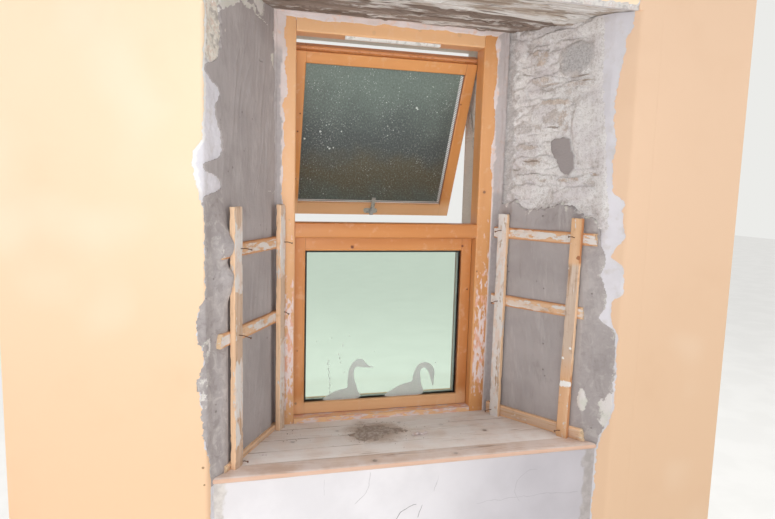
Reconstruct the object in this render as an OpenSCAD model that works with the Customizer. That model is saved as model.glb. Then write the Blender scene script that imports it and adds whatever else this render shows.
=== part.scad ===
// Timber window with an open upper sash, in the splayed recess of a thick rubble wall.
// The room lies towards -Y and the garden towards +Y. The floor of the room is z = 0.
// Inside the modules, y = 0 is the room face of the window frame; place() centres the whole.

/* [Wall bay] */
// Width of the wall bay
bay_w = 2300; // [1900:10:2800]
// Height of the wall above the lintels
head_wall_h = 145; // [60:5:500]
// Depth of masonry from the frame's room face to the room
inner_depth = 385; // [250:5:600]
// Depth of masonry outside the check that the frame is set against
outer_leaf = 87; // [60:1:200]
// Distance from the frame's left edge to the left reveal
left_margin = 12; // [10:1:40]
// Distance from the frame's right edge to the right reveal
right_margin = 25; // [10:1:50]
// Gap between the frame's edges and the masonry beside them
frame_joint = 10; // [5:1:15]
// Splay of the left reveal, in degrees
left_splay = 29.2; // [10:0.1:38]
// Splay of the right reveal, in degrees
right_splay = 33.3; // [10:0.1:38]
// Thickness of the cement render on the reveals
render_t = 18; // [8:1:30]
// Thickness of the painted plaster on the room face
plaster_t = 15; // [8:1:25]
// Overlap of the masonry check over the frame's edges
check_cover = 15; // [10:1:22]
// Thickness of the roughcast outside
roughcast_t = 15; // [8:1:25]
// Height of the render on the right reveal above the window board
right_render_h = 824; // [500:1:1300]
// Drop of that render's top edge towards the room
render_fall = 62; // [0:1:120]
// Distance below the lintels where the coats' edges begin to draw back
draw_back_h = 290; // [100:5:600]
// Wander of the plaster's broken edges
plaster_chip = 11; // [3:0.5:15]
// Wander of the render's broken edges
render_chip = 9; // [3:0.5:12]
// Depth of the mortar filler in the joint round the frame
filler_depth = 60; // [30:5:110]
// Width of the filler's lap over the frame's face
filler_lap = 13; // [4:1:20]

/* [Lintels] */
// Gap between the top of the frame and the lintels over it
head_joint = 7; // [5:1:40]
// Height of a timber lintel
lintel_h = 150; // [100:5:180]
// Length of lintel that rests on the wall at each end
lintel_bearing = 150; // [80:5:220]
// Width of the pale lintel on the room side
room_lintel_w = 181; // [120:1:220]
// Joint between the timber lintels
lintel_joint = 4; // [1:0.5:10]
// Overlap of the outer lintel and its coat over the frame's head
outer_head_lap = 30; // [10:1:45]

/* [Recess below the window] */
// Height of the window board's top above the floor
board_z = 750; // [600:5:850]
// Thickness of the window board
board_t = 20; // [15:1:30]
// Width of one tongued board
board_w = 84; // [60:1:100]
// Width of the front board that carries the rounded nosing
nosing_w = 70; // [50:1:90]
// Distance from the frame's face to the front of the nosing
board_reach = 375; // [300:5:380]
// Distance that the nosing stands out past the plastered apron
nosing_lap = 10; // [4:1:25]
// Thickness of the apron's plaster
apron_t = 15; // [8:1:25]
// Width of the V groove at each board joint
board_groove = 4; // [2:0.5:6]

/* [Window frame] */
// Width of the frame over the jambs
frame_w = 800; // [720:5:816]
// Height from the underside of the frame's sill to the top of its head
frame_h = 1485; // [1300:5:1700]
// Face width of the jambs and of the head
jamb_face = 55; // [45:1:60]
// Depth of the frame
frame_d = 120; // [110:1:140]
// Depth from the frame's face to the stop that the sashes close against
stop_depth = 65; // [55:1:75]
// Depth of the sash rebate in jambs and head
rebate = 25; // [18:1:28]
// Face height of the transom
transom_h = 55; // [50:1:70]
// Height from the top of the frame's sill to the underside of the transom
lower_light_h = 668; // [500:4:700]
// Depth of the sash rebate in transom and sill
rail_rebate = 15; // [14:0.5:18]
// Face height of the frame's sill
sill_face = 55; // [45:1:65]
// Step from the window board up to the top of the frame's sill
sill_step = 18; // [8:1:30]
// Distance that the frame's sill stands out past the frame
sill_nose = 25; // [10:1:40]
// Radius of the moulded arris on frame and sashes
arris_r = 6; // [2:0.5:9]

/* [Sashes] */
// Gap between a sash and the frame round it
sash_gap = 2.5; // [1.5:0.1:4]
// Distance that the sashes' faces lie behind the frame's face
sash_recess = 40; // [30:1:45]
// Thickness of a sash
sash_t = 68; // [60:1:72]
// Distance that a sash's outer lip stands out past its face
sash_lip = 13; // [8:0.5:13.5]
// Face width of the stiles
stile_w = 40; // [36:1:60]
// Face height of the upper sash's top rail
upper_top_rail = 42; // [36:1:60]
// Face height of the upper sash's bottom rail
upper_bottom_rail = 50; // [40:1:70]
// Face height of the lower sash's top rail
lower_top_rail = 48; // [36:1:60]
// Face height of the lower sash's bottom rail
lower_bottom_rail = 41; // [36:1:70]
// Angle that the upper sash stands open at
open_angle = 25.5; // [10:0.5:40]

/* [Glass] */
// Depth of the glass behind a sash's face
glass_set = 15; // [12:0.5:20]
// Thickness of one sheet of glass
glass_t = 4; // [3:0.5:6]
// Gap between the two sheets
glass_gap = 16; // [10:1:18]
// Depth of the glazing groove in the sash
glazing_groove = 13; // [10:0.5:16]
// Gap between the glass edge and the bottom of its groove
glass_clearance = 3; // [2:0.5:4]
// Width of the spacer bar between the sheets
spacer_w = 13; // [8:0.5:16]

/* [Window fittings] */
// Length of a swing arm between its pivots
arm_l = 166; // [120:1:190]
// Width of a swing arm
arm_w = 18; // [12:1:24]
// Thickness of a swing arm
arm_t = 3; // [2:0.5:4]
// Distance between the slide shoe and the arm's pivot on the sash
link_d = 168; // [120:1:200]
// Distance from the sash's top edge to its slide shoe
shoe_drop = 20; // [16:1:30]
// Depth of the shoe's and the arm's pivots behind the sash's face
pivot_depth = 34; // [30:1:40]
// Radius of the pivot pins
pin_r = 4; // [3:0.5:5]
// Width of the side track
track_w = 22; // [16:1:28]
// Length of the side track
track_l = 330; // [250:5:400]
// Wall thickness of the side track
track_wall = 2; // [1.5:0.5:3]
// Length of the handle's base plate
handle_base_l = 58; // [45:1:70]
// Height of the handle's base plate
handle_base_h = 20; // [16:1:24]
// Length of the handle's lever
handle_l = 75; // [55:1:95]
// Length of the vent strip under the frame's head
vent_l = 350; // [200:10:500]
// Depth of the vent strip
vent_d = 13; // [8:1:18]
// Height of the vent strip
vent_h = 10; // [6:1:14]

/* [Timber grounds] */
// Width of the uprights
upright_w = 40; // [30:1:60]
// Width of the left front upright, a wider lath than the rest
left_front_w = 48; // [30:1:60]
// Thickness of the uprights
upright_t = 18; // [15:1:30]
// Thickness of the cross pieces
cross_t = 20; // [12:1:25]
// Height of the cross pieces
cross_h = 42; // [30:1:60]
// Height of the left bottom cross piece, a thinner lath
left_low_h = 20; // [15:1:60]
// Height of the right uprights above the board
right_upright_h = 784; // [600:1:900]
// Height of the left uprights above the board
left_upright_h = 804; // [600:1:900]
// Distance from the frame to the right rear upright, along the reveal
right_rear_s = 30; // [20:1:60]
// Distance from the frame to the right front upright, along the reveal
right_front_s = 318; // [200:1:350]
// Distance from the frame to the left rear upright, along the reveal
left_rear_s = 2; // [2:1:40]
// Distance from the frame to the left front upright, along the reveal
left_front_s = 310; // [200:1:330]
// Underside of the right middle cross piece above the board
right_middle_z = 434; // [300:1:500]
// Underside of the right top cross piece above the board
right_top_z = 692; // [560:1:740]
// Underside of the left middle cross piece above the board
left_middle_z = 391; // [300:1:500]
// Underside of the left top cross piece above the board
left_top_z = 652; // [540:1:740]
// How far the right cross pieces run on past the front upright: bottom, middle, top
right_stubs = [47, 22, 50];
// How far the left cross pieces run on past the front upright: bottom, middle, top
left_stubs = [26, 50, 34];

/* [Outer sill] */
// Height of the stone sill outside
stone_sill_h = 75; // [50:1:120]
// Distance that the stone sill stands out past the roughcast
stone_sill_nose = 35; // [15:1:70]
// Depth of the stone sill that lies under the frame
stone_sill_lap = 30; // [15:1:50]
// Fall of the stone sill's top, in degrees
stone_sill_fall = 7; // [3:1:12]

/* [Hidden] */
$fn = 48;

// Levels and depths that follow from the driving sizes
left_reveal_x = frame_w / 2 + left_margin;
right_reveal_x = frame_w / 2 + right_margin;
sill_top_z = board_z + sill_step;
frame_z = sill_top_z - sill_face;
frame_top_z = frame_z + frame_h;
head_sight_z = frame_top_z - jamb_face;
transom_z = sill_top_z + lower_light_h;
upper_sill_z = transom_z + transom_h;
upper_light_h = head_sight_z - upper_sill_z;
sight_w = frame_w - 2 * jamb_face;
soffit_z = frame_top_z + head_joint;
lintel_top_z = soffit_z + lintel_h;
bay_h = lintel_top_z + head_wall_h;
breast_z = board_z - board_t;
draw_back_z = soffit_z - draw_back_h;
outer_soffit_z = frame_top_z - outer_head_lap + roughcast_t;
pocket_x = frame_w / 2 + frame_joint;
check_x = frame_w / 2 - check_cover;
outer_y = frame_d + outer_leaf;
outer_face_y = outer_y + roughcast_t;
room_y = -inner_depth;
paint_y = room_y - plaster_t;
apron_y = nosing_lap - board_reach;
breast_y = apron_y + apron_t;

// Half-widths of the recess at a depth y, on the render's face and on the masonry behind it
function left_face(y) = left_reveal_x - y * tan(left_splay);
function right_face(y) = right_reveal_x - y * tan(right_splay);
left_stone_add = render_t / cos(left_splay);
right_stone_add = render_t / cos(right_splay);
left_arris_x = left_face(room_y) + left_stone_add;
right_arris_x = right_face(room_y) + right_stone_add;
left_length = inner_depth / cos(left_splay);
right_length = inner_depth / cos(right_splay);
left_bearing_x = left_arris_x + lintel_bearing;
right_bearing_x = right_arris_x + lintel_bearing;

// The open sash: the slide shoe runs in the upright track, straight above the fixed pivot
track_y = (stop_depth + frame_d) / 2 + 4;
pivot_z = head_sight_z - sash_gap - shoe_drop - link_d - arm_l;
arm_angle = asin(link_d * sin(open_angle) / arm_l);
shoe_z = pivot_z + arm_l * cos(arm_angle) + link_d * cos(open_angle);
sash_top_y = track_y - shoe_drop * sin(open_angle) - pivot_depth * cos(open_angle);
sash_top_z = shoe_z + shoe_drop * cos(open_angle) - pivot_depth * sin(open_angle);
sash_w = sight_w - 2 * sash_gap;
upper_sash_h = upper_light_h - 2 * sash_gap;
lower_sash_h = lower_light_h - 2 * sash_gap;
step_w = stop_depth - sash_recess;
unit_t = 2 * glass_t + glass_gap;
pane_lap = glazing_groove - glass_clearance;
sash_reach_y = sash_top_y + (upper_sash_h + sash_lip) * sin(open_angle)
    + sash_t * cos(open_angle);
centre_y = (paint_y + sash_reach_y) / 2;
fit = 0.3;

module place() {
    translate([0, -centre_y, 0]) children();
}

// A wandering edge, as a trowel or a chipped coat leaves it: three waves of unlike lengths
function ragged(t, size, phase) = size * (sin(0.7 * t + phase)
    + 0.6 * sin(2.3 * t + 2 * phase) + 0.35 * sin(5.9 * t + 3 * phase));

// Masonry

// Plan of a pier: wall end, room face, splayed reveal, pocket of the frame, outer check
module pier_plan(reveal_x, arris_x, stone_add) {
    polygon([
        [bay_w / 2, room_y],
        [arris_x, room_y],
        [reveal_x + stone_add, 0],
        [pocket_x, 0],
        [pocket_x, frame_d],
        [check_x, frame_d],
        [check_x, outer_y],
        [bay_w / 2, outer_y]]);
}

module timber_lintel_beds() {
    translate([-left_bearing_x, room_y - 1, soffit_z])
        cube([left_bearing_x + right_bearing_x, inner_depth + frame_d + 1, lintel_h + 1]);
}

module outer_lintel_bed() {
    translate([-check_x - lintel_bearing, frame_d, outer_soffit_z])
        cube([2 * (check_x + lintel_bearing), outer_leaf + 1, lintel_top_z - outer_soffit_z + 1]);
}

module pier_mass(reveal_x, arris_x, stone_add) {
    linear_extrude(lintel_top_z) pier_plan(reveal_x, arris_x, stone_add);
}

module left_pier() {
    color([0.80, 0.77, 0.74]) place() difference() {
        mirror([1, 0, 0]) pier_mass(left_reveal_x, left_arris_x, left_stone_add);
        timber_lintel_beds();
        outer_lintel_bed();
    }
}

module right_pier() {
    color([0.80, 0.77, 0.74]) place() difference() {
        pier_mass(right_reveal_x, right_arris_x, right_stone_add);
        timber_lintel_beds();
        outer_lintel_bed();
    }
}

// The wall under the window fills the recess between the piers, up to the board and the frame
module breast_wall() {
    color([0.78, 0.76, 0.73]) place() difference() {
        linear_extrude(breast_z) polygon([
            [-left_face(breast_y) - left_stone_add, breast_y],
            [-left_reveal_x - left_stone_add, 0],
            [-pocket_x, 0],
            [-pocket_x, frame_d],
            [-check_x, frame_d],
            [-check_x, outer_y],
            [check_x, outer_y],
            [check_x, frame_d],
            [pocket_x, frame_d],
            [pocket_x, 0],
            [right_reveal_x + right_stone_add, 0],
            [right_face(breast_y) + right_stone_add, breast_y]]);
        translate([-bay_w / 2, 0, frame_z]) cube([bay_w, outer_y + 1, bay_h]);
        translate([-bay_w / 2, frame_d - stone_sill_lap, frame_z - stone_sill_h])
            cube([bay_w, outer_y, bay_h]);
    }
}

module head_wall() {
    color([0.78, 0.76, 0.73]) place()
        translate([-bay_w / 2, room_y, lintel_top_z])
        cube([bay_w, inner_depth + outer_y, bay_h - lintel_top_z]);
}

// A squared timber lintel with a wane along its lower room-side arris
module timber_lintel(y, w, wane) {
    translate([-left_bearing_x, 0, 0])
        rotate([90, 0, 90]) linear_extrude(left_bearing_x + right_bearing_x) polygon([
            [y + wane, soffit_z],
            [y + w, soffit_z],
            [y + w, lintel_top_z],
            [y, lintel_top_z],
            [y, soffit_z + wane]]);
}

module room_lintel() {
    color([0.80, 0.68, 0.52]) place() timber_lintel(room_y, room_lintel_w, 9);
}

module inner_lintel() {
    color([0.36, 0.29, 0.24]) place() timber_lintel(room_y + room_lintel_w + lintel_joint,
        inner_depth - room_lintel_w - 2 * lintel_joint, 14);
}

module frame_lintel() {
    color([0.36, 0.29, 0.24]) place() timber_lintel(0, frame_d - lintel_joint, 5);
}

module outer_lintel() {
    color([0.62, 0.60, 0.57]) place()
        translate([-check_x - lintel_bearing, frame_d, outer_soffit_z])
        cube([2 * (check_x + lintel_bearing), outer_leaf, lintel_top_z - outer_soffit_z]);
}

// Coats of render and plaster

// Sets a plate drawn as (distance along the reveal, height) against the right reveal
module on_right_reveal(off) {
    translate([right_reveal_x, 0, 0]) rotate([0, 0, right_splay - 90])
        translate([0, off, 0]) rotate([90, 0, 0]) mirror([0, 0, 1]) children();
}

module on_left_reveal(off) {
    mirror([1, 0, 0]) translate([left_reveal_x, 0, 0]) rotate([0, 0, left_splay - 90])
        translate([0, off, 0]) rotate([90, 0, 0]) mirror([0, 0, 1]) children();
}

edge_step = 24;

// Trims the back end of a reveal coat to the frame's face
module reveal_back_trim() {
    translate([-bay_w / 2, 0, 0]) cube([bay_w, frame_d, bay_h]);
}

// Grey render on the left reveal, its front edge broken back from the arris
module left_reveal_render() {
    n = floor((soffit_z - breast_z) / edge_step);
    color([0.58, 0.55, 0.54]) place() difference() {
        on_left_reveal(0) linear_extrude(render_t) polygon(concat(
            [[-render_t, breast_z]],
            [for (i = [0:n]) let (z = breast_z + i * (soffit_z - breast_z) / n)
                [left_length - 3 * render_chip + ragged(z, render_chip, 40)
                    - 0.06 * max(0, z - draw_back_z), z]],
            [[-render_t, soffit_z]]));
        reveal_back_trim();
    }
}

// Height where the render on the right reveal stops and the bare stone begins: level near
// the frame and falling faster and faster over the last third towards the room
function render_top(s) = board_z + right_render_h + ragged(3.1 * s, 1.2 * render_chip, 120)
    - render_fall * pow(max(0, 3 * s / right_length - 2), 2);

// Grey render on the lower half of the right reveal, with its broken top and front edges
module right_reveal_render() {
    front = right_length - 2 * render_chip;
    n = floor((render_top(front) - breast_z) / edge_step);
    m = floor(front / edge_step);
    color([0.58, 0.55, 0.54]) place() difference() {
        on_right_reveal(0) linear_extrude(render_t) polygon(concat(
            [[-render_t, breast_z]],
            [for (i = [0:n - 1]) let (z = breast_z + i * edge_step)
                [front + ragged(z, 0.7 * render_chip, 75), z]],
            [for (i = [m:-1:0]) [i * edge_step, render_top(i * edge_step)]],
            [[-render_t, render_top(0)]]));
        reveal_back_trim();
    }
}

// Painted plaster on the room face; its inner edge is chipped back to the arris
module wall_plaster(arris_x, top_gain, phase) {
    n = floor(bay_h / edge_step);
    translate([0, room_y, 0]) rotate([90, 0, 0]) linear_extrude(plaster_t) polygon(concat(
        [for (i = [0:n]) let (z = i * bay_h / n) [max(arris_x, arris_x + 0.8 * plaster_chip
            + max(0, z - draw_back_z) * top_gain + ragged(z, plaster_chip, phase)), z]],
        [[bay_w / 2, bay_h], [bay_w / 2, 0]]));
}

module left_wall_plaster() {
    color([0.98, 0.89, 0.72]) place()
        mirror([1, 0, 0]) wall_plaster(left_arris_x, 0.02, 10);
}

module right_wall_plaster() {
    color([0.93, 0.78, 0.62]) place() wall_plaster(right_arris_x, 0.16, 200);
}

// Painted plaster over the lintels, chipped along its lower edge
module head_plaster() {
    x0 = -left_arris_x;
    span = right_arris_x + left_arris_x;
    n = floor(span / edge_step);
    color([0.96, 0.86, 0.70]) place() intersection() {
        translate([0, room_y, 0]) rotate([90, 0, 0]) linear_extrude(plaster_t) polygon(concat(
            [for (i = [0:n]) let (x = x0 + i * span / n)
                [x, soffit_z + 1.2 * plaster_chip + ragged(x, 0.5 * plaster_chip, 300)]],
            [[right_arris_x, bay_h], [x0, bay_h]]));
        translate([-left_arris_x, paint_y - 1, soffit_z])
            cube([span, plaster_t + 2, bay_h]);
    }
}

module apron_plaster() {
    color([0.91, 0.90, 0.91]) place() linear_extrude(breast_z) polygon([
        [-left_face(apron_y) - left_stone_add + fit, apron_y],
        [-left_face(breast_y) - left_stone_add + fit, breast_y],
        [right_face(breast_y) + right_stone_add - fit, breast_y],
        [right_face(apron_y) + right_stone_add - fit, apron_y]]);
}

// Roughcast over the outer face, returned round the outer reveal to the frame
module outer_roughcast() {
    color([0.66, 0.64, 0.61]) place() difference() {
        union() {
            translate([-bay_w / 2, outer_y, 0]) cube([bay_w, roughcast_t, bay_h]);
            translate([-check_x, frame_d, frame_z])
                cube([2 * check_x, outer_leaf + 1, outer_soffit_z - frame_z]);
        }
        translate([-check_x + roughcast_t, 0, frame_z - 1])
            cube([2 * (check_x - roughcast_t), outer_face_y + 1,
                outer_soffit_z - roughcast_t - frame_z + 1]);
        translate([-check_x, 0, frame_z - stone_sill_h])
            cube([2 * check_x, outer_face_y + 1, stone_sill_h]);
    }
}

// Stone sill with a weathered top and a drip groove under its nose
module outer_sill() {
    back = frame_d - stone_sill_lap;
    front = outer_face_y + stone_sill_nose;
    fall = (front - frame_d) * tan(stone_sill_fall);
    bottom = frame_z - stone_sill_h;
    drip_r = 5;
    drip_set = 18;
    color([0.60, 0.58, 0.55]) place() difference() {
        translate([-check_x, 0, 0]) rotate([90, 0, 90]) linear_extrude(2 * check_x) polygon([
            [back, bottom],
            [front, bottom],
            [front, frame_z - fall],
            [frame_d, frame_z],
            [back, frame_z]]);
        translate([0, front - drip_set, bottom]) rotate([0, 90, 0])
            cylinder(r = drip_r, h = 2 * check_x + 2, center = true);
    }
}

// Mortar that fills the joint round the frame and laps a little over its face
module jamb_filler(reveal_x) {
    feather = 2;
    translate([0, 0, board_z + fit]) linear_extrude(soffit_z - board_z - fit) polygon([
        [frame_w / 2 - filler_lap, 0],
        [frame_w / 2, 0],
        [frame_w / 2, filler_depth],
        [pocket_x, filler_depth],
        [pocket_x, 0],
        [reveal_x, 0],
        [reveal_x, -feather],
        [(frame_w - filler_lap) / 2, -filler_lap / 2]]);
}

module frame_filler() {
    color([0.86, 0.83, 0.81]) place() {
        jamb_filler(right_reveal_x);
        mirror([1, 0, 0]) jamb_filler(left_reveal_x);
        translate([-frame_w / 2 + filler_lap + fit, 0, 0]) rotate([90, 0, 90])
            linear_extrude(frame_w - 2 * filler_lap - 2 * fit) polygon([
                [0, frame_top_z - filler_lap],
                [0, frame_top_z],
                [filler_depth, frame_top_z],
                [filler_depth, soffit_z],
                [-filler_lap, soffit_z],
                [-filler_lap / 2, frame_top_z - filler_lap / 2]]);
    }
}

// Window frame

// Section of a frame member: x from its sight edge to its back, y through the frame;
// the sight edge has a rounded arris and the sash rebate is cut from the outside
module frame_section(face, cut) {
    difference() {
        square([face, frame_d]);
        translate([-1, stop_depth]) square([cut + 1, frame_d]);
        difference() {
            translate([-1, -1]) square([arris_r + 1, arris_r + 1]);
            translate([arris_r, arris_r]) circle(r = arris_r);
        }
    }
}

module frame_jamb() {
    translate([sight_w / 2, 0, frame_z]) linear_extrude(frame_h)
        frame_section(jamb_face, rebate);
}

module frame_left_jamb() {
    color([0.84, 0.59, 0.35]) place() mirror([1, 0, 0]) frame_jamb();
}

module frame_right_jamb() {
    color([0.84, 0.59, 0.35]) place() frame_jamb();
}

// Lays a section along the frame between the jambs; the part behind the stops runs
// on into the jambs' rebates
module between_jambs() {
    for (part = [[sight_w, 0, stop_depth], [sight_w + 2 * rebate, stop_depth, frame_d]])
        intersection() {
            translate([-part[0] / 2, 0, 0]) rotate([90, 0, 90])
                linear_extrude(part[0]) children();
            translate([-frame_w, part[1], 0]) cube([2 * frame_w, part[2] - part[1], bay_h]);
        }
}

module frame_head() {
    color([0.84, 0.59, 0.35]) place() between_jambs()
        translate([0, head_sight_z]) rotate(90) mirror([0, 1])
        frame_section(jamb_face, rebate);
}

module frame_transom() {
    color([0.84, 0.59, 0.35]) place() between_jambs() difference() {
        translate([0, transom_z]) square([frame_d, transom_h]);
        translate([stop_depth, transom_z - 1]) square([frame_d, rail_rebate + 1]);
        translate([stop_depth, upper_sill_z - rail_rebate]) square([frame_d, rail_rebate + 1]);
        for (z = [transom_z, upper_sill_z])
            difference() {
                translate([-1, z - arris_r]) square([arris_r + 1, 2 * arris_r]);
                translate([arris_r, z + (z == transom_z ? arris_r : -arris_r)])
                    circle(r = arris_r);
                translate([-2, z + (z == transom_z ? arris_r : -2 * arris_r)])
                    square([arris_r + 3, arris_r]);
            }
    }
}

// The frame's sill has a weathered top, a nose past the frame and a drip groove
module frame_sill() {
    nose_y = frame_d + sill_nose;
    nose_z = frame_z + 8;
    back_top = sill_top_z - rail_rebate;
    back_step = 5;
    front_step = 14;
    drip_r = 2.5;
    nose_x = check_x - roughcast_t - 2;
    color([0.84, 0.59, 0.35]) place() {
        between_jambs() translate([0, frame_z]) difference() {
            square([frame_d, sill_face]);
            translate([stop_depth, sill_face - rail_rebate])
                square([frame_d, rail_rebate + 1]);
        }
        difference() {
            translate([-nose_x, 0, 0]) rotate([90, 0, 90]) linear_extrude(2 * nose_x) polygon([
                [frame_d, nose_z],
                [nose_y, nose_z],
                [nose_y, back_top - front_step],
                [frame_d, back_top - back_step]]);
            translate([0, nose_y - sill_nose / 3, nose_z]) rotate([0, 90, 0])
                cylinder(r = drip_r, h = frame_w, center = true);
        }
    }
}

// Sashes

// An opening with a rounded arris all round on its room face, to be cut from a sash.
// x runs across, y through the sash and z up.
module moulded_opening(w, h) {
    intersection() {
        linear_extrude(h + 2 * arris_r, center = true) opening_flare(w);
        rotate([0, 90, 0]) linear_extrude(w + 2 * arris_r, center = true)
            opening_flare(h);
    }
    cube([w, 4 * sash_t, h], center = true);
}

// Plan of the flare: the sight width, widened to the face by a quarter round on each side
module opening_flare(w) {
    difference() {
        translate([-w / 2 - arris_r, 0]) square([w + 2 * arris_r, arris_r]);
        for (side = [-1, 1])
            translate([side * (w / 2 + arris_r), arris_r]) circle(r = arris_r);
    }
}

// A glazed-up sash frame, its room face on y = 0 and its bottom edge on z = 0
module sash_frame(h, top_rail, bottom_rail) {
    hole_w = sash_w - 2 * stile_w;
    hole_h = h - top_rail - bottom_rail;
    hole_z = bottom_rail + hole_h / 2;
    drip_r = 3;
    drip_set = 10;
    difference() {
        union() {
            translate([-sash_w / 2, 0, 0]) cube([sash_w, step_w, h]);
            translate([-sash_w / 2 - sash_lip, step_w, -sash_lip])
                cube([sash_w + 2 * sash_lip, sash_t - step_w, h + 2 * sash_lip]);
        }
        translate([0, 0, hole_z]) moulded_opening(hole_w, hole_h);
        translate([-hole_w / 2 - glazing_groove, glass_set, hole_z - hole_h / 2 - glazing_groove])
            cube([hole_w + 2 * glazing_groove, unit_t, hole_h + 2 * glazing_groove]);
        translate([0, sash_t - drip_set, -sash_lip]) rotate([0, 90, 0])
            cylinder(r = drip_r, h = 2 * sash_w, center = true);
    }
}

// Two sheets of glass with a gap between them
module sash_pane(h, top_rail, bottom_rail) {
    pane_w = sash_w - 2 * stile_w + 2 * pane_lap;
    pane_h = h - top_rail - bottom_rail + 2 * pane_lap;
    for (y = [glass_set, glass_set + glass_t + glass_gap])
        translate([-pane_w / 2, y, bottom_rail - pane_lap]) cube([pane_w, glass_t, pane_h]);
}

// The bar between the sheets, set in from their edges
module sash_spacer(h, top_rail, bottom_rail) {
    inset = 4;
    w = sash_w - 2 * stile_w + 2 * pane_lap - 2 * inset;
    bar_h = h - top_rail - bottom_rail + 2 * pane_lap - 2 * inset;
    translate([0, glass_set + glass_t, bottom_rail - pane_lap + inset]) difference() {
        translate([-w / 2, 0, 0]) cube([w, glass_gap, bar_h]);
        translate([-w / 2 + spacer_w, -1, spacer_w])
            cube([w - 2 * spacer_w, glass_gap + 2, bar_h - 2 * spacer_w]);
    }
}

module at_lower_sash() {
    translate([0, sash_recess, sill_top_z + sash_gap]) children();
}

// The open sash hangs from its top edge: the foot swings out by open_angle
module at_upper_sash() {
    translate([0, sash_top_y, sash_top_z]) rotate([open_angle, 0, 0])
        translate([0, 0, -upper_sash_h]) children();
}

module lower_sash() {
    color([0.84, 0.59, 0.35]) place() at_lower_sash()
        sash_frame(lower_sash_h, lower_top_rail, lower_bottom_rail);
}

module lower_pane() {
    color([0.75, 0.83, 0.80, 0.4]) place() at_lower_sash()
        sash_pane(lower_sash_h, lower_top_rail, lower_bottom_rail);
}

module lower_spacer() {
    color([0.72, 0.73, 0.74]) place() at_lower_sash()
        sash_spacer(lower_sash_h, lower_top_rail, lower_bottom_rail);
}

module upper_sash() {
    color([0.84, 0.59, 0.35]) place() at_upper_sash()
        sash_frame(upper_sash_h, upper_top_rail, upper_bottom_rail);
}

module upper_pane() {
    color([0.55, 0.60, 0.56, 0.5]) place() at_upper_sash()
        sash_pane(upper_sash_h, upper_top_rail, upper_bottom_rail);
}

module upper_spacer() {
    color([0.72, 0.73, 0.74]) place() at_upper_sash()
        sash_spacer(upper_sash_h, upper_top_rail, upper_bottom_rail);
}

// Soft seal that stands on the sash's lip and meets the frame's stop when it is shut
module upper_seal() {
    seal_in = sash_lip - 8;
    seal_out = sash_lip - 2;
    seal_h = 5;
    color([0.22, 0.15, 0.11]) place() at_upper_sash() difference() {
        translate([-sash_w / 2 - seal_out, step_w - seal_h, -seal_out])
            cube([sash_w + 2 * seal_out, seal_h, upper_sash_h + 2 * seal_out]);
        translate([-sash_w / 2 - seal_in, step_w - seal_h - 1, -seal_in])
            cube([sash_w + 2 * seal_in, seal_h + 2, upper_sash_h + 2 * seal_in]);
    }
}

// Window fittings

// Lever handle on the bottom rail: plate, boss and a lever that bends out and up
module sash_handle() {
    plate_t = 6;
    boss_r = 8;
    boss_h = 16;
    lever_w = 14;
    lever_t = 7;
    rail_z = upper_bottom_rail * 0.42;
    color([0.72, 0.72, 0.73]) place() at_upper_sash() translate([0, 0, rail_z]) {
        rotate([90, 0, 0]) linear_extrude(plate_t) {
            square([handle_base_l - handle_base_h, handle_base_h], center = true);
            for (side = [-1, 1])
                translate([side * (handle_base_l - handle_base_h) / 2, 0])
                    circle(d = handle_base_h);
        }
        translate([0, 1 - plate_t, 0]) rotate([90, 0, 0]) cylinder(r = boss_r, h = boss_h + 1);
        translate([-lever_w / 2, 0, 0]) rotate([90, 0, 90]) linear_extrude(lever_w) polygon([
            [-plate_t - boss_h + 2, -boss_r],
            [-plate_t - boss_h + 2, boss_r],
            [-plate_t - boss_h - 8, handle_l * 0.45],
            [-plate_t - boss_h - 10, handle_l],
            [-plate_t - boss_h - 10 - lever_t, handle_l],
            [-plate_t - boss_h - 9 - lever_t, handle_l * 0.4],
            [-plate_t - boss_h - lever_t + 2, -boss_r]]);
    }
}

rebate_x = sight_w / 2 + rebate;
lip_x = sash_w / 2 + sash_lip;
arm_x = lip_x + 2;

// Flat arm from the fixed pivot on the jamb up to its pivot on the sash's stile
module swing_arm() {
    translate([arm_x, track_y, pivot_z]) rotate([-arm_angle, 0, 0]) {
        rotate([90, 0, 90]) linear_extrude(arm_t) {
            translate([-arm_w / 2, 0]) square([arm_w, arm_l]);
            for (z = [0, arm_l])
                translate([0, z]) circle(d = arm_w);
        }
        rotate([0, 90, 0]) cylinder(r = pin_r, h = rebate_x - arm_x);
        translate([lip_x - arm_x, 0, arm_l]) rotate([0, 90, 0])
            cylinder(r = pin_r, h = arm_x - lip_x + arm_t + 2);
    }
}

module right_arm() {
    color([0.74, 0.75, 0.76]) place() swing_arm();
}

module left_arm() {
    color([0.74, 0.75, 0.76]) place() mirror([1, 0, 0]) swing_arm();
}

// Upright channel screwed to the jamb, open towards the sash, with the shoe that slides in it
module side_track() {
    depth = rebate_x - lip_x - 1;
    shoe_l = 42;
    pin_l = 3;
    top = head_sight_z;
    translate([rebate_x - depth, track_y - track_w / 2, top - track_l]) difference() {
        cube([depth, track_w, track_l]);
        translate([-1, track_wall, -1])
            cube([depth - track_wall + 1, track_w - 2 * track_wall, track_l + 2]);
    }
    translate([lip_x, track_y, shoe_z]) {
        rotate([0, 90, 0]) cylinder(r = pin_r, h = pin_l);
        translate([1 + fit, -track_w / 2 + track_wall + fit, -shoe_l / 2])
            cube([depth - track_wall - 2 * fit, track_w - 2 * track_wall - 2 * fit, shoe_l]);
    }
}

module right_track() {
    color([0.82, 0.80, 0.76]) place() side_track();
}

module left_track() {
    color([0.82, 0.80, 0.76]) place() mirror([1, 0, 0]) side_track();
}

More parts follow.
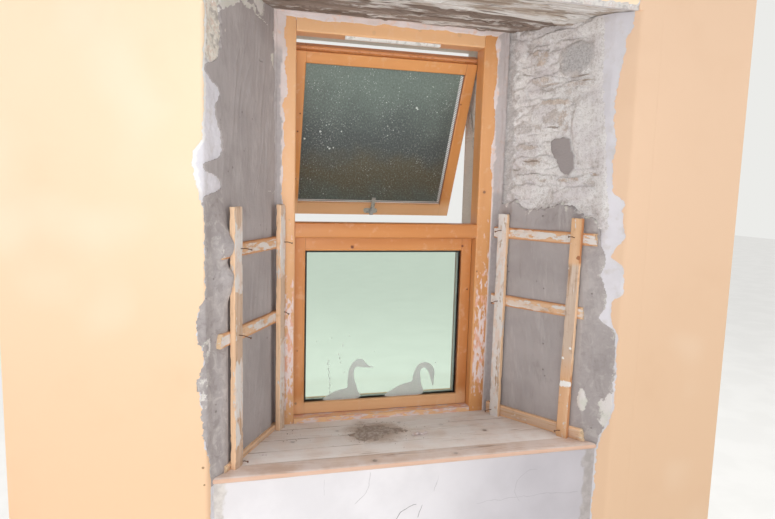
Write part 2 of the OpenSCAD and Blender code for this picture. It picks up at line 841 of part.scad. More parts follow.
// Aluminium strip under the head, with a shallow channel along its underside
module head_vent() {
    y0 = 7;
    wall = 3;
    channel_h = 2;
    color([0.72, 0.72, 0.72]) place() difference() {
        translate([-vent_l / 2, y0, head_sight_z - vent_h]) cube([vent_l, vent_d, vent_h]);
        translate([-vent_l / 2 - 1, y0 + wall, head_sight_z - vent_h - 1])
            cube([vent_l + 2, vent_d - 2 * wall, channel_h + 1]);
    }
}

// Timber grounds: cross pieces against the render, uprights over them

module right_upright(s) {
    on_right_reveal(-cross_t - upright_t) linear_extrude(upright_t)
        translate([s, board_z]) square([upright_w, right_upright_h]);
}

module left_upright(s, width) {
    on_left_reveal(-cross_t - upright_t) linear_extrude(upright_t)
        translate([s, board_z]) square([width, left_upright_h]);
}

module right_rear_upright() {
    color([0.90, 0.80, 0.66]) place() right_upright(right_rear_s);
}

module right_front_upright() {
    color([0.88, 0.74, 0.56]) place() right_upright(right_front_s);
}

module left_rear_upright() {
    color([0.88, 0.74, 0.56]) place() left_upright(left_rear_s, upright_w);
}

module left_front_upright() {
    color([0.88, 0.74, 0.56]) place() left_upright(left_front_s, left_front_w);
}

// Three cross pieces from the board up; each end slants where it was split off
module cross_battens(feet, sizes, ends, start_s) {
    split = 8;
    linear_extrude(cross_t) for (k = [0:2])
        polygon([
            [start_s, feet[k]],
            [ends[k], feet[k]],
            [ends[k] - split, feet[k] + sizes[k]],
            [start_s, feet[k] + sizes[k]]]);
}

module right_cross_battens() {
    past_s = right_front_s + upright_w;
    color([0.86, 0.68, 0.48]) place() on_right_reveal(-cross_t)
        cross_battens([board_z, board_z + right_middle_z, board_z + right_top_z],
            [cross_h, cross_h, cross_h], [for (l = right_stubs) past_s + l], cross_t);
}

module left_cross_battens() {
    past_s = left_front_s + left_front_w;
    color([0.86, 0.68, 0.48]) place() on_left_reveal(-cross_t)
        cross_battens([board_z, board_z + left_middle_z, board_z + left_top_z],
            [left_low_h, cross_h, cross_h], [for (l = left_stubs) past_s + l], cross_t);
}

// Window board

// Plan of the board between two depths, fitted between the rendered reveals
module board_plan(y0, y1) {
    polygon([
        [-left_face(y0) + fit, y0],
        [-left_face(y1) + fit, y1],
        [right_face(y1) - fit, y1],
        [right_face(y0) - fit, y0]]);
}

// Tongued boards laid across the recess, with a V groove at each joint
module window_board() {
    front = nosing_w - board_reach;
    color([0.78, 0.72, 0.67]) place() difference() {
        translate([0, 0, breast_z]) linear_extrude(board_t) board_plan(front, 0);
        for (y = [front + board_w:board_w:-board_w / 2])
            translate([0, y, board_z]) rotate([45, 0, 0])
                cube([bay_w, board_groove / sqrt(2), board_groove / sqrt(2)], center = true);
    }
}

// Front board with its half-round nosing
module board_nosing() {
    r = board_t / 2;
    color([0.86, 0.70, 0.58]) place() intersection() {
        translate([0, 0, breast_z]) linear_extrude(board_t)
            board_plan(-board_reach, nosing_w - board_reach);
        translate([-bay_w / 2, 0, breast_z]) rotate([90, 0, 90]) linear_extrude(bay_w) {
            translate([r - board_reach, 0]) square([nosing_w - r, board_t]);
            translate([r - board_reach, r]) circle(r = r);
        }
    }
}

left_pier();
right_pier();
breast_wall();
head_wall();
room_lintel();
inner_lintel();
frame_lintel();
outer_lintel();
left_reveal_render();
right_reveal_render();
left_wall_plaster();
right_wall_plaster();
head_plaster();
apron_plaster();
outer_roughcast();
outer_sill();
frame_filler();
frame_head();
frame_left_jamb();
frame_right_jamb();
frame_transom();
frame_sill();
lower_sash();
lower_pane();
lower_spacer();
upper_sash();
upper_pane();
upper_spacer();
upper_seal();
sash_handle();
left_arm();
right_arm();
left_track();
right_track();
head_vent();
left_rear_upright();
left_front_upright();
left_cross_battens();
right_rear_upright();
right_front_upright();
right_cross_battens();
window_board();
board_nosing();
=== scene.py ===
# %% [markdown]
# # A timber window in a splayed wall recess
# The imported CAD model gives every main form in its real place. This script dresses it: it gives
# the timber, plaster and glass their finishes, and makes the rough coats, stones, worn laths and
# crumbs that a solid model leaves plain.

# %% Load the frame
import bpy
import math
from itertools import combinations
import numpy as np
from mathutils import Matrix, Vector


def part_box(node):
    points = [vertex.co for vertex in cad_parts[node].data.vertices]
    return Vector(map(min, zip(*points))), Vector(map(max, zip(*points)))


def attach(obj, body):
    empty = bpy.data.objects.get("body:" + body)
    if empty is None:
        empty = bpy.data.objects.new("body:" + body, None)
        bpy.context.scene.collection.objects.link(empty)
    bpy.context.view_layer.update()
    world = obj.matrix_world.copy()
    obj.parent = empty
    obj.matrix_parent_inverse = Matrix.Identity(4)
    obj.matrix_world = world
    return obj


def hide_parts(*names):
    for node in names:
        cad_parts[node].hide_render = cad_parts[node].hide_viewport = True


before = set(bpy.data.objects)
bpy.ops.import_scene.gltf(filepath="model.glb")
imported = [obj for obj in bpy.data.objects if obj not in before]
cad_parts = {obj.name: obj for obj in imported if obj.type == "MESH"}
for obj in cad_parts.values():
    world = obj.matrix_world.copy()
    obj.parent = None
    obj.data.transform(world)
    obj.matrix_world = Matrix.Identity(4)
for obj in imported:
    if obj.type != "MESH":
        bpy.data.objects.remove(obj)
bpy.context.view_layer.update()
FACE_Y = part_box("frame_left_jamb")[0][1]
print("nodes:", len(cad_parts), "frame's room face at y =", round(FACE_Y, 5))

# %% [markdown]
# ## Sizes
# The window was drawn in millimetres with y = 0 on the room face of its frame. The same numbers
# are easier to read here than metres, so every new piece is worked out in them, and one function
# turns them into Blender's metres.

# %% Sizes in millimetres
LEFT_X, RIGHT_X = 412.0, 425.0
ROOM_FACE, PLASTER_BACK = -400.0, -384.9
BOARD_Z, SOFFIT_Z, TOP_Z = 750.0, 2205.0, 2500.0
LEFT_SPLAY, RIGHT_SPLAY = math.radians(29.2), math.radians(33.3)


def metres(x, y, z):
    """Millimetres on the drawing's axes, as arrays of one shape, to points in metres."""
    return np.stack(np.broadcast_arrays(x, y, z), axis=-1) / 1000 + (0, FACE_Y, 0)


def ease(value, low, high):
    """0 up to low, 1 from high on, and a smooth S between them."""
    t = np.clip((value - low) / (high - low), 0, 1)
    return t * t * (3 - 2 * t)


print("back edge of the board in metres:", metres([-LEFT_X, RIGHT_X], 0, BOARD_Z).round(4).tolist())

# %% [markdown]
# ## Roughness that repeats exactly
# Plaster and stone need unevenness at many sizes. A random generator would do, but a noise that
# is a pure function of place gives the same wall each time and can be asked for at any point. It
# mixes whole numbers into a fixed value at each corner of a grid, and blends between corners.

# %% Noise as a function of place
def blend(first, second, mask):
    """The first value where the mask is 0, the second where it is 1."""
    return first * (1 - mask) + second * mask


def corner_value(i, j, seed):
    """A fixed number between -1 and 1 for each pair of whole numbers."""
    h = (i * 374761393 + j * 668265263 + seed * 974634777) & 0xFFFFFFFF
    h = ((h ^ (h >> 13)) * 1274126177) & 0xFFFFFFFF
    return ((h ^ (h >> 16)) & 0xFFFF) / 32767.5 - 1


def noise(u, v, seed=0):
    """The four values round (u, v), blended by smooth steps along both axes."""
    u, v = np.broadcast_arrays(np.asarray(u, float), np.asarray(v, float))
    i, j = np.floor(u).astype(np.int64), np.floor(v).astype(np.int64)
    fu, fv = ease(u - i, 0, 1), ease(v - j, 0, 1)
    low, high = (blend(corner_value(i, j + k, seed), corner_value(i + 1, j + k, seed), fu)
                 for k in (0, 1))
    return blend(low, high, fv)


def rough(u, v, octaves=4, seed=0, gain=0.5):
    """Noise plus finer and finer noise, each with twice the detail and gain times the height."""
    u, v = np.asarray(u, float), np.asarray(v, float)
    return sum(gain ** k * noise(u * 2 ** k + 17.3 * k, v * 2 ** k - 9.1 * k, seed + k)
               for k in range(octaves))


# %% Shapes made from noise and steps
def wander(t, size, spread, seed):
    """A line's wandering: rough noise along t, with lobes about spread long."""
    return size * rough(t / spread, 0.37, 4, seed, 0.6)


def lens(a, z, centre_a, centre_z, half_w, half_h, tilt, power=2.6):
    """1 in the middle of a tilted, flattened ellipse, 0 on its rim and below 0 outside."""
    turn = math.radians(tilt)
    u = ((a - centre_a) * math.cos(turn) + (z - centre_z) * math.sin(turn)) / half_w
    v = ((z - centre_z) * math.cos(turn) - (a - centre_a) * math.sin(turn)) / half_h
    return 1 - (np.abs(u) ** power + np.abs(v) ** power) ** (1 / power)


def ridge(distance, half_width, top=1):
    """1 on a line and 0 from half_width away on."""
    return ease(1 - np.abs(distance) / half_width, 0, top)


def window(value, low, high, soft):
    """1 from low to high, 0 outside, with a step soft long inside each end."""
    return ease(value, low, low + soft) * ease(high - value, 0, soft)


def bumps(a, z, size, octaves, seed):
    """Rough noise whose largest lobes are size across both ways."""
    return rough(a / size, z / size, octaves, seed)


def follow(z, table, soft=12):
    """Reads (height, distance) pairs at z, with their corners rounded over soft millimetres."""
    heights, distances = zip(*table)
    return sum(np.interp(z + d, heights, distances) for d in np.linspace(-soft, soft, 5)) / 5


print("rough noise at four places:", rough(0.4 * np.arange(4), 0.2).round(3))

# %% [markdown]
# ## From a grid of points to a closed piece
# Each coat is a slab whose front is a grid of points and whose back is flat. Thickness could come
# from a Solidify modifier, but that copies the roughness to the back and leaves the ragged rim to
# luck. Here the front grid is joined to one straight row of back points at its foot and one at
# its head, so the slab closes with few faces, and every face points outwards.

# %% Slabs
def quads(a, b, c, d):
    """Four-sided faces from four arrays of point numbers."""
    return np.stack([a, b, c, d], -1).reshape(-1, 4).tolist()


def slab(front, back_low, back_high, turned=False, **layers):
    """Front: rows x columns of points. Back rows: one point for each column."""
    rows, cols = front.shape[:2]
    index = np.arange(rows * cols).reshape(rows, cols)
    low = rows * cols + np.arange(cols)
    high = low + cols

    faces = (
        quads(index[:-1, :-1], index[:-1, 1:], index[1:, 1:], index[1:, :-1])
        + quads(index[0, 1:], index[0, :-1], low[:-1], low[1:])
        + quads(index[-1, :-1], index[-1, 1:], high[1:], high[:-1])
        + quads(low[1:], low[:-1], high[:-1], high[1:])
        + [index[:, 0].tolist() + [int(high[0]), int(low[0])]]
        + [index[::-1, -1].tolist() + [int(low[-1]), int(high[-1])]])
    if turned:
        faces = [face[::-1] for face in faces]
    points = np.concatenate([front.reshape(-1, 3), back_low, back_high])
    values = {name: np.concatenate([v.reshape(-1), np.zeros(2 * cols)])
              for name, v in layers.items()}
    return points, faces, values


# %% Pieces
def new_object(name, data):
    """An object in the scene that shows a mesh, a light or a camera."""
    obj = bpy.data.objects.new(name, data)
    bpy.context.scene.collection.objects.link(obj)
    return obj


def piece(name, shells, replaces=(), crease=50):
    """Joins shells (points, faces, named values for each point) into one mesh that rides along."""
    points, faces, start = [], [], 0
    for shell in shells:
        points.append(shell[0])
        faces += [[start + i for i in face] for face in shell[1]]
        start += len(shell[0])
    mesh = bpy.data.meshes.new(name)
    mesh.from_pydata(np.concatenate(points).tolist(), [], faces)
    for layer in sorted({key for shell in shells for key in shell[2]}):
        parts = [np.asarray(s[2].get(layer, np.zeros(len(s[0]))), float) for s in shells]
        kind = "FLOAT_VECTOR" if parts[0].ndim == 2 else "FLOAT"
        field = "vector" if parts[0].ndim == 2 else "value"
        mesh.attributes.new(layer, kind, "POINT").data.foreach_set(
            field, np.concatenate(parts).astype(np.float32).reshape(-1))
    mesh.polygons.foreach_set("use_smooth", np.ones(len(mesh.polygons), bool))
    mesh.set_sharp_from_angle(angle=math.radians(crease))
    mesh.update()
    obj = new_object(name, mesh)
    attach(obj, "root")
    if replaces:
        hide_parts(*replaces)
    print(f"{name}: {len(mesh.vertices)} points, {len(faces)} faces")
    return obj


# %% [markdown]
# ## The line that a coat follows
# A reveal runs back from the room at a splay, turns over an arris and goes on along the room
# face. Seen from above that is a bent line. It is sampled every millimetre and rounded by a
# moving average, as a trowel rounds a corner. A point on a coat is then given by its distance
# along this line, its height, and how far it stands off.

# %% Rounded plan lines
def plan_line(corners, rounding):
    """Distance, x, y and the outward normal along a bent line, for the right-hand side."""
    corners = np.array(corners, float)
    length = np.concatenate([[0], np.cumsum(np.hypot(*np.diff(corners, axis=0).T))])
    d = np.arange(0, length[-1], 1.0)
    weights = np.hanning(2 * rounding + 3)[1:-1]
    weights /= weights.sum()
    lead = np.arange(1, rounding + 1)

    def smooth(v):
        longer = np.concatenate([v[0] - (v[1] - v[0]) * lead[::-1], v,
                                 v[-1] + (v[-1] - v[-2]) * lead])
        return np.convolve(longer, weights, "valid")

    x, y = (smooth(np.interp(d, length, corners[:, k])) for k in (0, 1))
    tx, ty = np.gradient(x), np.gradient(y)
    size = np.hypot(tx, ty)
    return d, x, y, ty / size, -tx / size


# %% The two plan lines
LEFT_LINE = plan_line([(LEFT_X, 0), (635.6, ROOM_FACE), (720, ROOM_FACE)], 14)
RIGHT_LINE = plan_line([(RIGHT_X, 0), (650, -348), (712, ROOM_FACE), (800, ROOM_FACE)], 16)
print("length of the two plan lines in mm:", LEFT_LINE[0][-1], RIGHT_LINE[0][-1])


def on_line(line, side, a, z, off):
    """Points a along the line, z up and off out of it; side is -1 on the left, 1 on the right."""
    d, x, y, nx, ny = line
    return metres(side * (np.interp(a, d, x) + off * np.interp(a, d, nx)),
                  np.interp(a, d, y) + off * np.interp(a, d, ny), z)


def coat(line, side, a, z, height, back=-17.0, **layers):
    """A slab that follows a plan line, with height(a, z) as its front."""
    column = a[0]
    return slab(on_line(line, side, a, z, height),
                on_line(line, side, column, z[0, 0], back),
                on_line(line, side, column, z[-1, 0], back), side < 0, **layers)


def grid(a0, a1, z0, z1, step):
    """Even rows and columns about step apart, as two arrays."""
    columns = np.linspace(a0, a1, int((a1 - a0) / step) + 1)
    rows = np.linspace(z0, z1, int((z1 - z0) / step) + 1)
    return np.meshgrid(columns, rows)


# %% [markdown]
# ## Short ways to write shader nodes
# Node trees written out in full bury the idea of a material under lines that join sockets. This
# small helper adds one node for each call. What it returns can be added and multiplied like a
# number, so that a finish reads as a sentence.

# %% Signals
def linear(colour):
    """A colour as read off a screen, 0 to 255, turned into linear light."""
    v = np.array(colour) / 255
    return (*np.where(v <= 0.04045, v / 12.92, ((v + 0.055) / 1.055) ** 2.4).tolist(), 1.0)


class Signal:
    """A node's output. Signals take + - * / and abs() with each other and with numbers."""

    def __init__(self, tree, socket):
        self.tree, self.socket = tree, socket

    def __add__(self, other):
        return self.tree.math("ADD", self, other)

    def __sub__(self, other):
        return self.tree.math("SUBTRACT", self, other)

    def __mul__(self, other):
        return self.tree.math("MULTIPLY", self, other)

    def __truediv__(self, other):
        return self.tree.math("DIVIDE", self, other)

    def __abs__(self):
        return self.tree.math("ABSOLUTE", self)

    def fade(self, low, high, start=0.0, end=1.0):
        """An S-shaped step from start to end while the signal goes from low to high."""
        return self.tree.add("MapRange", {0: self, 1: low, 2: high, 3: start, 4: end},
                             interpolation_type="SMOOTHSTEP")

    def fall(self, low, high):
        """The same step from 1 down to 0."""
        return self.fade(low, high, 1.0, 0.0)

    def mix(self, mask, other, way="MIX"):
        """Goes over to another colour where the mask is 1."""
        return self.tree.mix(mask, self, other, way)

    def lay(self, mask, other):
        """Is multiplied by another colour where the mask is 1."""
        return self.mix(mask, other, "MULTIPLY")


# %% Trees
class Tree:
    """Adds nodes to one tree. Each method returns the new node's output as a signal."""

    def __init__(self, tree):
        self.tree = tree

    def plug(self, node, values):
        """Joins signals to a node's inputs and writes plain values on them."""
        for key, value in values.items():
            socket = node.inputs[key]
            if isinstance(value, Signal):
                self.tree.links.new(value.socket, socket)
            else:
                socket.default_value = linear(value) if socket.type == "RGBA" else value

    def add(self, kind, inputs, output=0, **settings):
        node = self.tree.nodes.new("ShaderNode" + kind)
        for name, value in settings.items():
            setattr(node, name, value)
        self.plug(node, inputs)
        return Signal(self, node.outputs[output])

    def math(self, operation, *values):
        return self.add("Math", dict(enumerate(values)), operation=operation)

    def mix(self, mask, a, b, way="MIX"):
        return self.add("Mix", {0: mask, 6: a, 7: b}, 2, data_type="RGBA", blend_type=way)

    def noise(self, vector, scale, detail=3.0, roughness=0.55, distortion=0.0):
        return self.add("TexNoise", {"Vector": vector, "Scale": scale, "Detail": detail,
                                     "Roughness": roughness, "Distortion": distortion})

    def cells(self, vector, scale, randomness=1.0, output=0, feature="F1"):
        """A pattern of cells: how far a point is from its cell's middle, or another output."""
        return self.add("TexVoronoi", {"Vector": vector, "Scale": scale, "Randomness": randomness},
                        output, feature=feature)

    def place(self, vector, move=(0, 0, 0), turn=(0, 0, 0), scale=(1, 1, 1)):
        return self.add("Mapping", {"Vector": vector, "Location": move, "Rotation": turn,
                                    "Scale": scale})

    def layer(self, name, output="Fac"):
        return self.add("Attribute", {}, output, attribute_name=name)

    def axes(self, vector):
        return [self.add("SeparateXYZ", {0: vector}, k) for k in range(3)]

    def vector(self, x, y, z):
        return self.add("CombineXYZ", {0: x, 1: y, 2: z})

    def between(self, operation, a, b, output="Vector"):
        return self.add("VectorMath", {0: a, 1: b}, output, operation=operation)

    def group(self, name, *values):
        """A shared group, given its inputs in order: its only output, or a list of them."""
        node = self.tree.nodes.new("ShaderNodeGroup")
        node.node_tree = bpy.data.node_groups[name]
        self.plug(node, dict(enumerate(values)))
        outputs = [Signal(self, socket) for socket in node.outputs]
        return outputs if len(outputs) > 1 else outputs[0]

    def knot(self, vector, centre, radius):
        """The mask and halo of a knot, its centre and radius in millimetres."""
        return self.group("knot", vector, [v / 1000 for v in centre], radius / 1000)

    def finish(self, colour, roughness=0.8, height=None, depth=0.001, **plain):
        """Ends the tree with a Principled shader; plain values go straight onto its sockets."""
        values = {"Base Color": colour, "Roughness": roughness}
        if height is not None:
            values["Normal"] = self.add("Bump", {"Strength": 1.0, "Distance": depth,
                                                 "Height": height})
        values.update((key.replace("_", " "), value) for key, value in plain.items())
        shader = self.add("BsdfPrincipled", values)
        self.plug(self.tree.nodes.new("ShaderNodeOutputMaterial"), {"Surface": shader})


# %% Groups
def new_group(name, inputs, outputs):
    """An empty group. Inputs have a default each, None for a vector; outputs are plain values."""
    group = bpy.data.node_groups.new(name, "ShaderNodeTree")
    for key, value in inputs.items():
        kind = "Vector" if value is None else "Float"
        socket = group.interface.new_socket(key, in_out="INPUT", socket_type="NodeSocket" + kind)
        if value is not None:
            socket.default_value = value
    for key in outputs:
        group.interface.new_socket(key, in_out="OUTPUT", socket_type="NodeSocketFloat")
    t = Tree(group)
    source, sink = (group.nodes.new("NodeGroup" + end) for end in ("Input", "Output"))
    given = [Signal(t, source.outputs[key]) for key in inputs]
    print(f"shared effect {name} gives {', '.join(outputs)}")
    return t, given, lambda **results: t.plug(sink, results)


# %% [markdown]
# ## Effects that several finishes share
# Grain, knots, old paint, fine grit and trowel marks come back on many pieces. Each is a node
# group built once, which puts out masks and heights, and each material sets its own sizes.

# %% Wood grain
t, (place, lines, sway), give = new_group(
    "grain", {"Vector": None, "Lines": 330.0, "Sway": 2.2}, ("Late", "Tone", "Fibre"))
wave = t.noise(t.place(place, scale=(7, 7, 0.9)), 1.0, 2.0)
across = t.between("DOT_PRODUCT", place, (1.0, 0.55, 0.0), "Value")
saw = t.math("FRACT", across * lines + wave * (sway * 9.0))
give(Late=saw.fade(0.35, 0.9) * saw.fall(0.9, 1.0),
     Tone=t.noise(t.place(place, scale=(16, 16, 1.4)), 1.0, 2.0),
     Fibre=t.noise(t.place(place, scale=(700, 700, 16)), 1.0, 2.0))

# %% Knots
t, (place, centre, radius), give = new_group(
    "knot", {"Vector": None, "Centre": None, "Radius": 0.006}, ("Mask", "Halo"))
gap = t.between("DISTANCE", place, centre, "Value")
ratio = gap / radius + (t.noise(place, 160.0) - 0.5) * 0.9
give(Mask=ratio.fall(0.75, 1.15), Halo=ratio.fall(0.9, 2.6))

# %% Patches, as of old paint or dust
t, (place, scale, cover, edge, detail), give = new_group(
    "patches", {"Vector": None, "Scale": 20.0, "Cover": 0.5, "Edge": 0.03, "Detail": 5.0}, ("Mask",))
field = t.noise(place, scale, detail, 0.62)
give(Mask=(field - cover.fade(0.0, 1.0, 0.68, 0.32)).fade(edge * -1.0, edge))

# %% Grit and trowel marks
t, (place, scale), give = new_group("grit", {"Vector": None, "Scale": 500.0}, ("Speck", "Height"))
fine = t.noise(place, scale * 0.5, 4.0, 0.7)
give(Speck=t.cells(place, scale).fall(0.05, 0.22) * fine.fade(0.52, 0.6), Height=fine)

t, (place, turn), give = new_group("trowel", {"Vector": None, "Turn": None}, ("Mark",))
turned = t.add("VectorRotate", {"Vector": place, "Rotation": turn}, rotation_type="EULER_XYZ")
wide = t.noise(t.place(turned, scale=(14, 14, 3)), 1.0, 3.0, 0.5, 0.6)
thin = t.noise(t.place(turned, scale=(120, 120, 9)), 1.0, 2.0)
give(Mark=wide * 0.7 + thin * 0.3)


# %% [markdown]
# ## Finishes
# A finish is a colour, a roughness and a height, each of which changes over the surface. The
# Principled shader turns them into light. Height goes through one Bump node, whose distance is
# the true depth of the marks in metres.

# %% Materials by name
MATERIALS = {}


def start(name):
    """A new material's tree, with the place on the object as t.here."""
    material = MATERIALS[name] = bpy.data.materials.new(name)
    material.use_nodes = True
    material.node_tree.nodes.clear()
    t = Tree(material.node_tree)
    t.here = t.add("TexCoord", {}, "Object")
    print("finish:", name)
    return t


def wear(material, *targets):
    """Puts a material on pieces, or on CAD nodes by name."""
    for target in targets:
        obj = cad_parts[target] if isinstance(target, str) else target
        obj.data.materials.clear()
        obj.data.materials.append(MATERIALS[material])
        print(f"{obj.name} wears {material}")


# %% [markdown]
# ### Varnished pine
# The frame and sashes are new pine under a warm orange varnish. The grain runs along each member,
# so uprights and rails need it in two directions. A window sash is one solid, so its material
# asks how far a point is from the middle: past the joint it is a stile, and within it a rail.

# %% Pine
PINE_PALE, PINE_LATE, PINE_DEEP = (220, 154, 90), (199, 128, 66), (188, 113, 53)


def pine(name, knots=(), joint_x=None, turn=0.0, rail=False, foot=(0, 0, 0), painted_light=0.0,
         painted_shade=0.0, painted_light_foot=(0, 1, 0), smear=None):
    """Varnished pine. A knot is (x, z, radius, strength) in millimetres on the drawing's axes."""
    t = start(name)
    place = t.place(t.here, move=foot, turn=(turn, 0, 0))
    x, y, z = t.axes(place)
    upright, lying = t.vector(x, y, z), t.vector(z, y, x)
    vector, joint = lying if rail else upright, None
    if joint_x:
        side = abs(x)
        in_stile = t.math("GREATER_THAN", side, joint_x / 1000)
        vector = t.add("Mix", {0: in_stile, 4: lying, 5: upright}, 1, data_type="VECTOR")
        joint = abs(side - joint_x / 1000).fall(0.0002, 0.0009)
    late, tone, fibre = t.group("grain", vector, 300.0, 1.6)
    colour = t.mix(late * 0.5, PINE_PALE, PINE_LATE)
    # Painted shade: painted_shade moves the pine towards its deep tone, a darker copy of the same wood.
    colour = colour.mix(tone.fade(0.35, 0.75, painted_shade, 0.5 + painted_shade), PINE_DEEP)
    height = late * -0.4 + fibre * 0.5
    if joint:
        colour = colour.lay(joint * 0.75, (150, 95, 60))
        height = height - joint * 1.5
    for knot_x, knot_z, radius, strength in knots:
        mask, halo = t.knot(t.vector(x, 0.0, z), (knot_x, 0, knot_z), radius)
        colour = colour.mix(halo * (0.35 * strength), (196, 118, 56))
        colour = colour.mix(mask * strength, (112, 56, 26))
    # Painted light: between the two heights in painted_light_foot the pine is paler still, where a
    # bottom rail faces away from the lamps.
    full, none, amount = painted_light_foot
    painted_light = z.fade(full / 1000, none / 1000, painted_light + amount, painted_light)
    # Painted light: the pine goes over to a pale peach by painted_light, paler wood where the recess
    # keeps light from a member.
    colour = colour.mix(painted_light, (252, 212, 168))
    dust = t.group("patches", t.here, 30.0, 0.24, 0.09)
    colour = colour.mix(dust * 0.22, (232, 205, 180))
    gloss = dust.fade(0.0, 1.0, 0.32, 0.55)
    if smear:
        low, full, high, inner, most = smear
        cover = z.fade(low / 1000, full / 1000) * z.fall(full / 1000, high / 1000)
        band = abs(x).fade((inner - 2) / 1000, (inner + 2) / 1000)
        streaks = t.place(t.here, scale=(0.5, 1.4, 1.4) if rail else (1.7, 1.7, 0.6))
        paint = t.group("patches", streaks, 48.0, cover * most, 0.03, 7.0)
        pink = t.group("patches", streaks, 30.0, 0.45, 0.05)
        paint = paint * band * cover.fade(0.02, 0.2)
        colour = colour.mix(paint, t.mix(pink, (236, 216, 212), (232, 176, 150)))
        gloss = t.math("MAXIMUM", gloss, paint * 0.85)
        height = height + paint * 1.6
    t.finish(colour, gloss, height, 0.0002, Coat_Weight=0.12, Coat_Roughness=0.25)


print("pale pine in linear light:", [round(c, 3) for c in linear(PINE_PALE)[:3]])


# %% The frame's members
# painted_light gives the jambs, head and sill painted light; painted_shade gives the transom painted
# shade.
pine("pine_left_jamb", knots=[(-366, 1500, 3, 0.4)], painted_light=0.4, smear=(560, 1000, 1600, 349, 0.66))
pine("pine_right_jamb", knots=[(369, 1614, 6, 0.9), (353, 1310, 3, 0.9)], painted_light=0.1,
     smear=(620, 960, 1780, 352, 0.6))
pine("pine_head", rail=True, painted_light=0.5,
     knots=[(-75, 2160, 7, 0.3), (93, 2184, 7, 0.35), (245, 2180, 9, 0.35)])
pine("pine_transom", rail=True, painted_shade=0.45)
pine("pine_sill", rail=True, painted_light=0.7, smear=(560, 752, 860, 0, 0.5))
for name in ("left_jamb", "right_jamb", "head", "transom", "sill"):
    wear("pine_" + name, "frame_" + name)

# %% [markdown]
# The open upper sash leans out by 25.5 degrees. A pattern that follows it has to be turned with
# it, so its material first turns the point back as if the sash were shut, and then works as the
# lower sash's does.

# %% The two sashes
OPEN_ANGLE = math.radians(25.5)
c, s = math.cos(-OPEN_ANGLE), math.sin(-OPEN_ANGLE)
top_y, top_z = 0.0572 + FACE_Y, 2.09096
UNTURN = (0, -(top_y * c - top_z * s), -(top_y * s + top_z * c) + 2.1)
# painted_light_foot gives each sash's bottom rail painted light; painted_shade darkens the lower sash a
# little as painted shade.
pine("pine_lower_sash", joint_x=302.5, painted_shade=0.2, painted_light_foot=(790, 850, 0.55),
     knots=[(-130, 1400, 6, 1.0), (305, 1404, 5, 0.9), (332, 1233, 3.5, 1.0),
            (-330, 1014, 2.5, 0.8), (-334, 812, 4.5, 1.0)])
pine("pine_upper_sash", joint_x=302.5, turn=-OPEN_ANGLE, foot=UNTURN, painted_light_foot=(1480, 1540, 0.55),
     knots=[(308, 1945, 3, 0.9), (-320, 1803, 3.5, 1.0), (-318, 1608, 3, 1.0),
            (-314, 1873, 3, 1.0)])
wear("pine_lower_sash", "lower_sash")
wear("pine_upper_sash", "upper_sash")

# %% [markdown]
# ### Glass, spacer, seal and fittings
# The shut pane is clear with a light scatter of dried drops. The open one is furred over with
# grey-green dirt, paler at its top and browner lower down, with spots and a run of white, so it
# lets little light through. The dirt is in the glass's colour and roughness, because a pane is
# only two thin sheets and a third would flicker against them.

# %% Glass
t = start("clear_glass")
drop = t.cells(t.here, 75.0).fall(0.05, 0.1) * t.noise(t.here, 22.0).fade(0.6, 0.64)
t.finish(t.mix(drop, (236, 246, 238), (226, 230, 226)), drop.fade(0.0, 1.0, 0.01, 0.6),
         Transmission_Weight=1.0, IOR=1.45)

t = start("grimy_glass")
shut = t.place(t.here, move=UNTURN, turn=(-OPEN_ANGLE, 0, 0))
x, _, z = t.axes(shut)
up = z + (t.noise(shut, 7.0, 3.0) - 0.5) * 0.22
colour = t.mix(up.fade(1.5, 1.62), (96, 106, 102), (97, 92, 76))
colour = colour.mix(up.fade(1.64, 1.75), (80, 86, 86))
colour = colour.mix(up.fade(1.76, 2.02), (114, 128, 121))
film = t.noise(t.place(shut, scale=(1.3, 1, 1)), 130.0, 4.0, 0.8)
colour = colour.mix(film.fade(0.5, 0.72, 0.0, 0.7), (160, 178, 168))
colour = colour.mix(film.fade(0.5, 0.3, 0.0, 0.5), (54, 60, 58))
some = t.noise(shut, 11.0, 4.0)
speck = t.math("MAXIMUM", t.cells(shut, 120.0).fade(0.12, 0.24, 0.75, 0.0) * some.fade(0.46, 0.58),
               t.cells(shut, 50.0).fall(0.08, 0.14) * some.fade(0.52, 0.6))
for blob_x, blob_z, radius in ((136, 1916, 4.5), (141, 1911, 3), (57, 1975, 1.6), (56, 1990, 1.4),
                               (54, 1962, 1.5), (58, 1948, 1.4), (-191, 1734, 4), (-198, 1740, 3),
                               (-176, 1738, 3), (-290, 1770, 4), (-232, 1802, 4), (-150, 1806, 3)):
    mask, _ = t.knot(t.vector(x, 0.0, z), (blob_x, 0, blob_z), radius)
    speck = t.math("MAXIMUM", speck, mask)
colour = colour.mix(speck * 0.85, (226, 232, 228))
hatch = t.math("SINE", (z - x) * 620.0).fade(-0.2, 0.5)
at_side = x.fade(0.2905, 0.292) * z.fade(2.052, 2.049)
colour = colour.mix(at_side, t.mix(hatch, (168, 174, 174), (240, 244, 243)))
lines = t.mix(abs(z - 1.5075).fade(0.0012, 0.0018), (96, 100, 100), (242, 245, 245))
colour = colour.mix(z.fade(1.5125, 1.5115), lines)
t.finish(colour, film.fade(0.3, 0.7, 0.3, 0.5), speck, 0.0003, Transmission_Weight=0.12, IOR=1.45)
wear("clear_glass", "lower_pane")
wear("grimy_glass", "upper_pane")

# %% [markdown]
# Two swans in frosted film are stuck on the foot of the shut pane, one looking ahead and one with
# its bill down, and a run of dried white drops has come down beside them. Each swan is an outline
# of a few points with a smooth closed curve through them, cut out of film a third of a millimetre
# thick. A grid of small cells would give the outline steps, so each figure is one flat face.

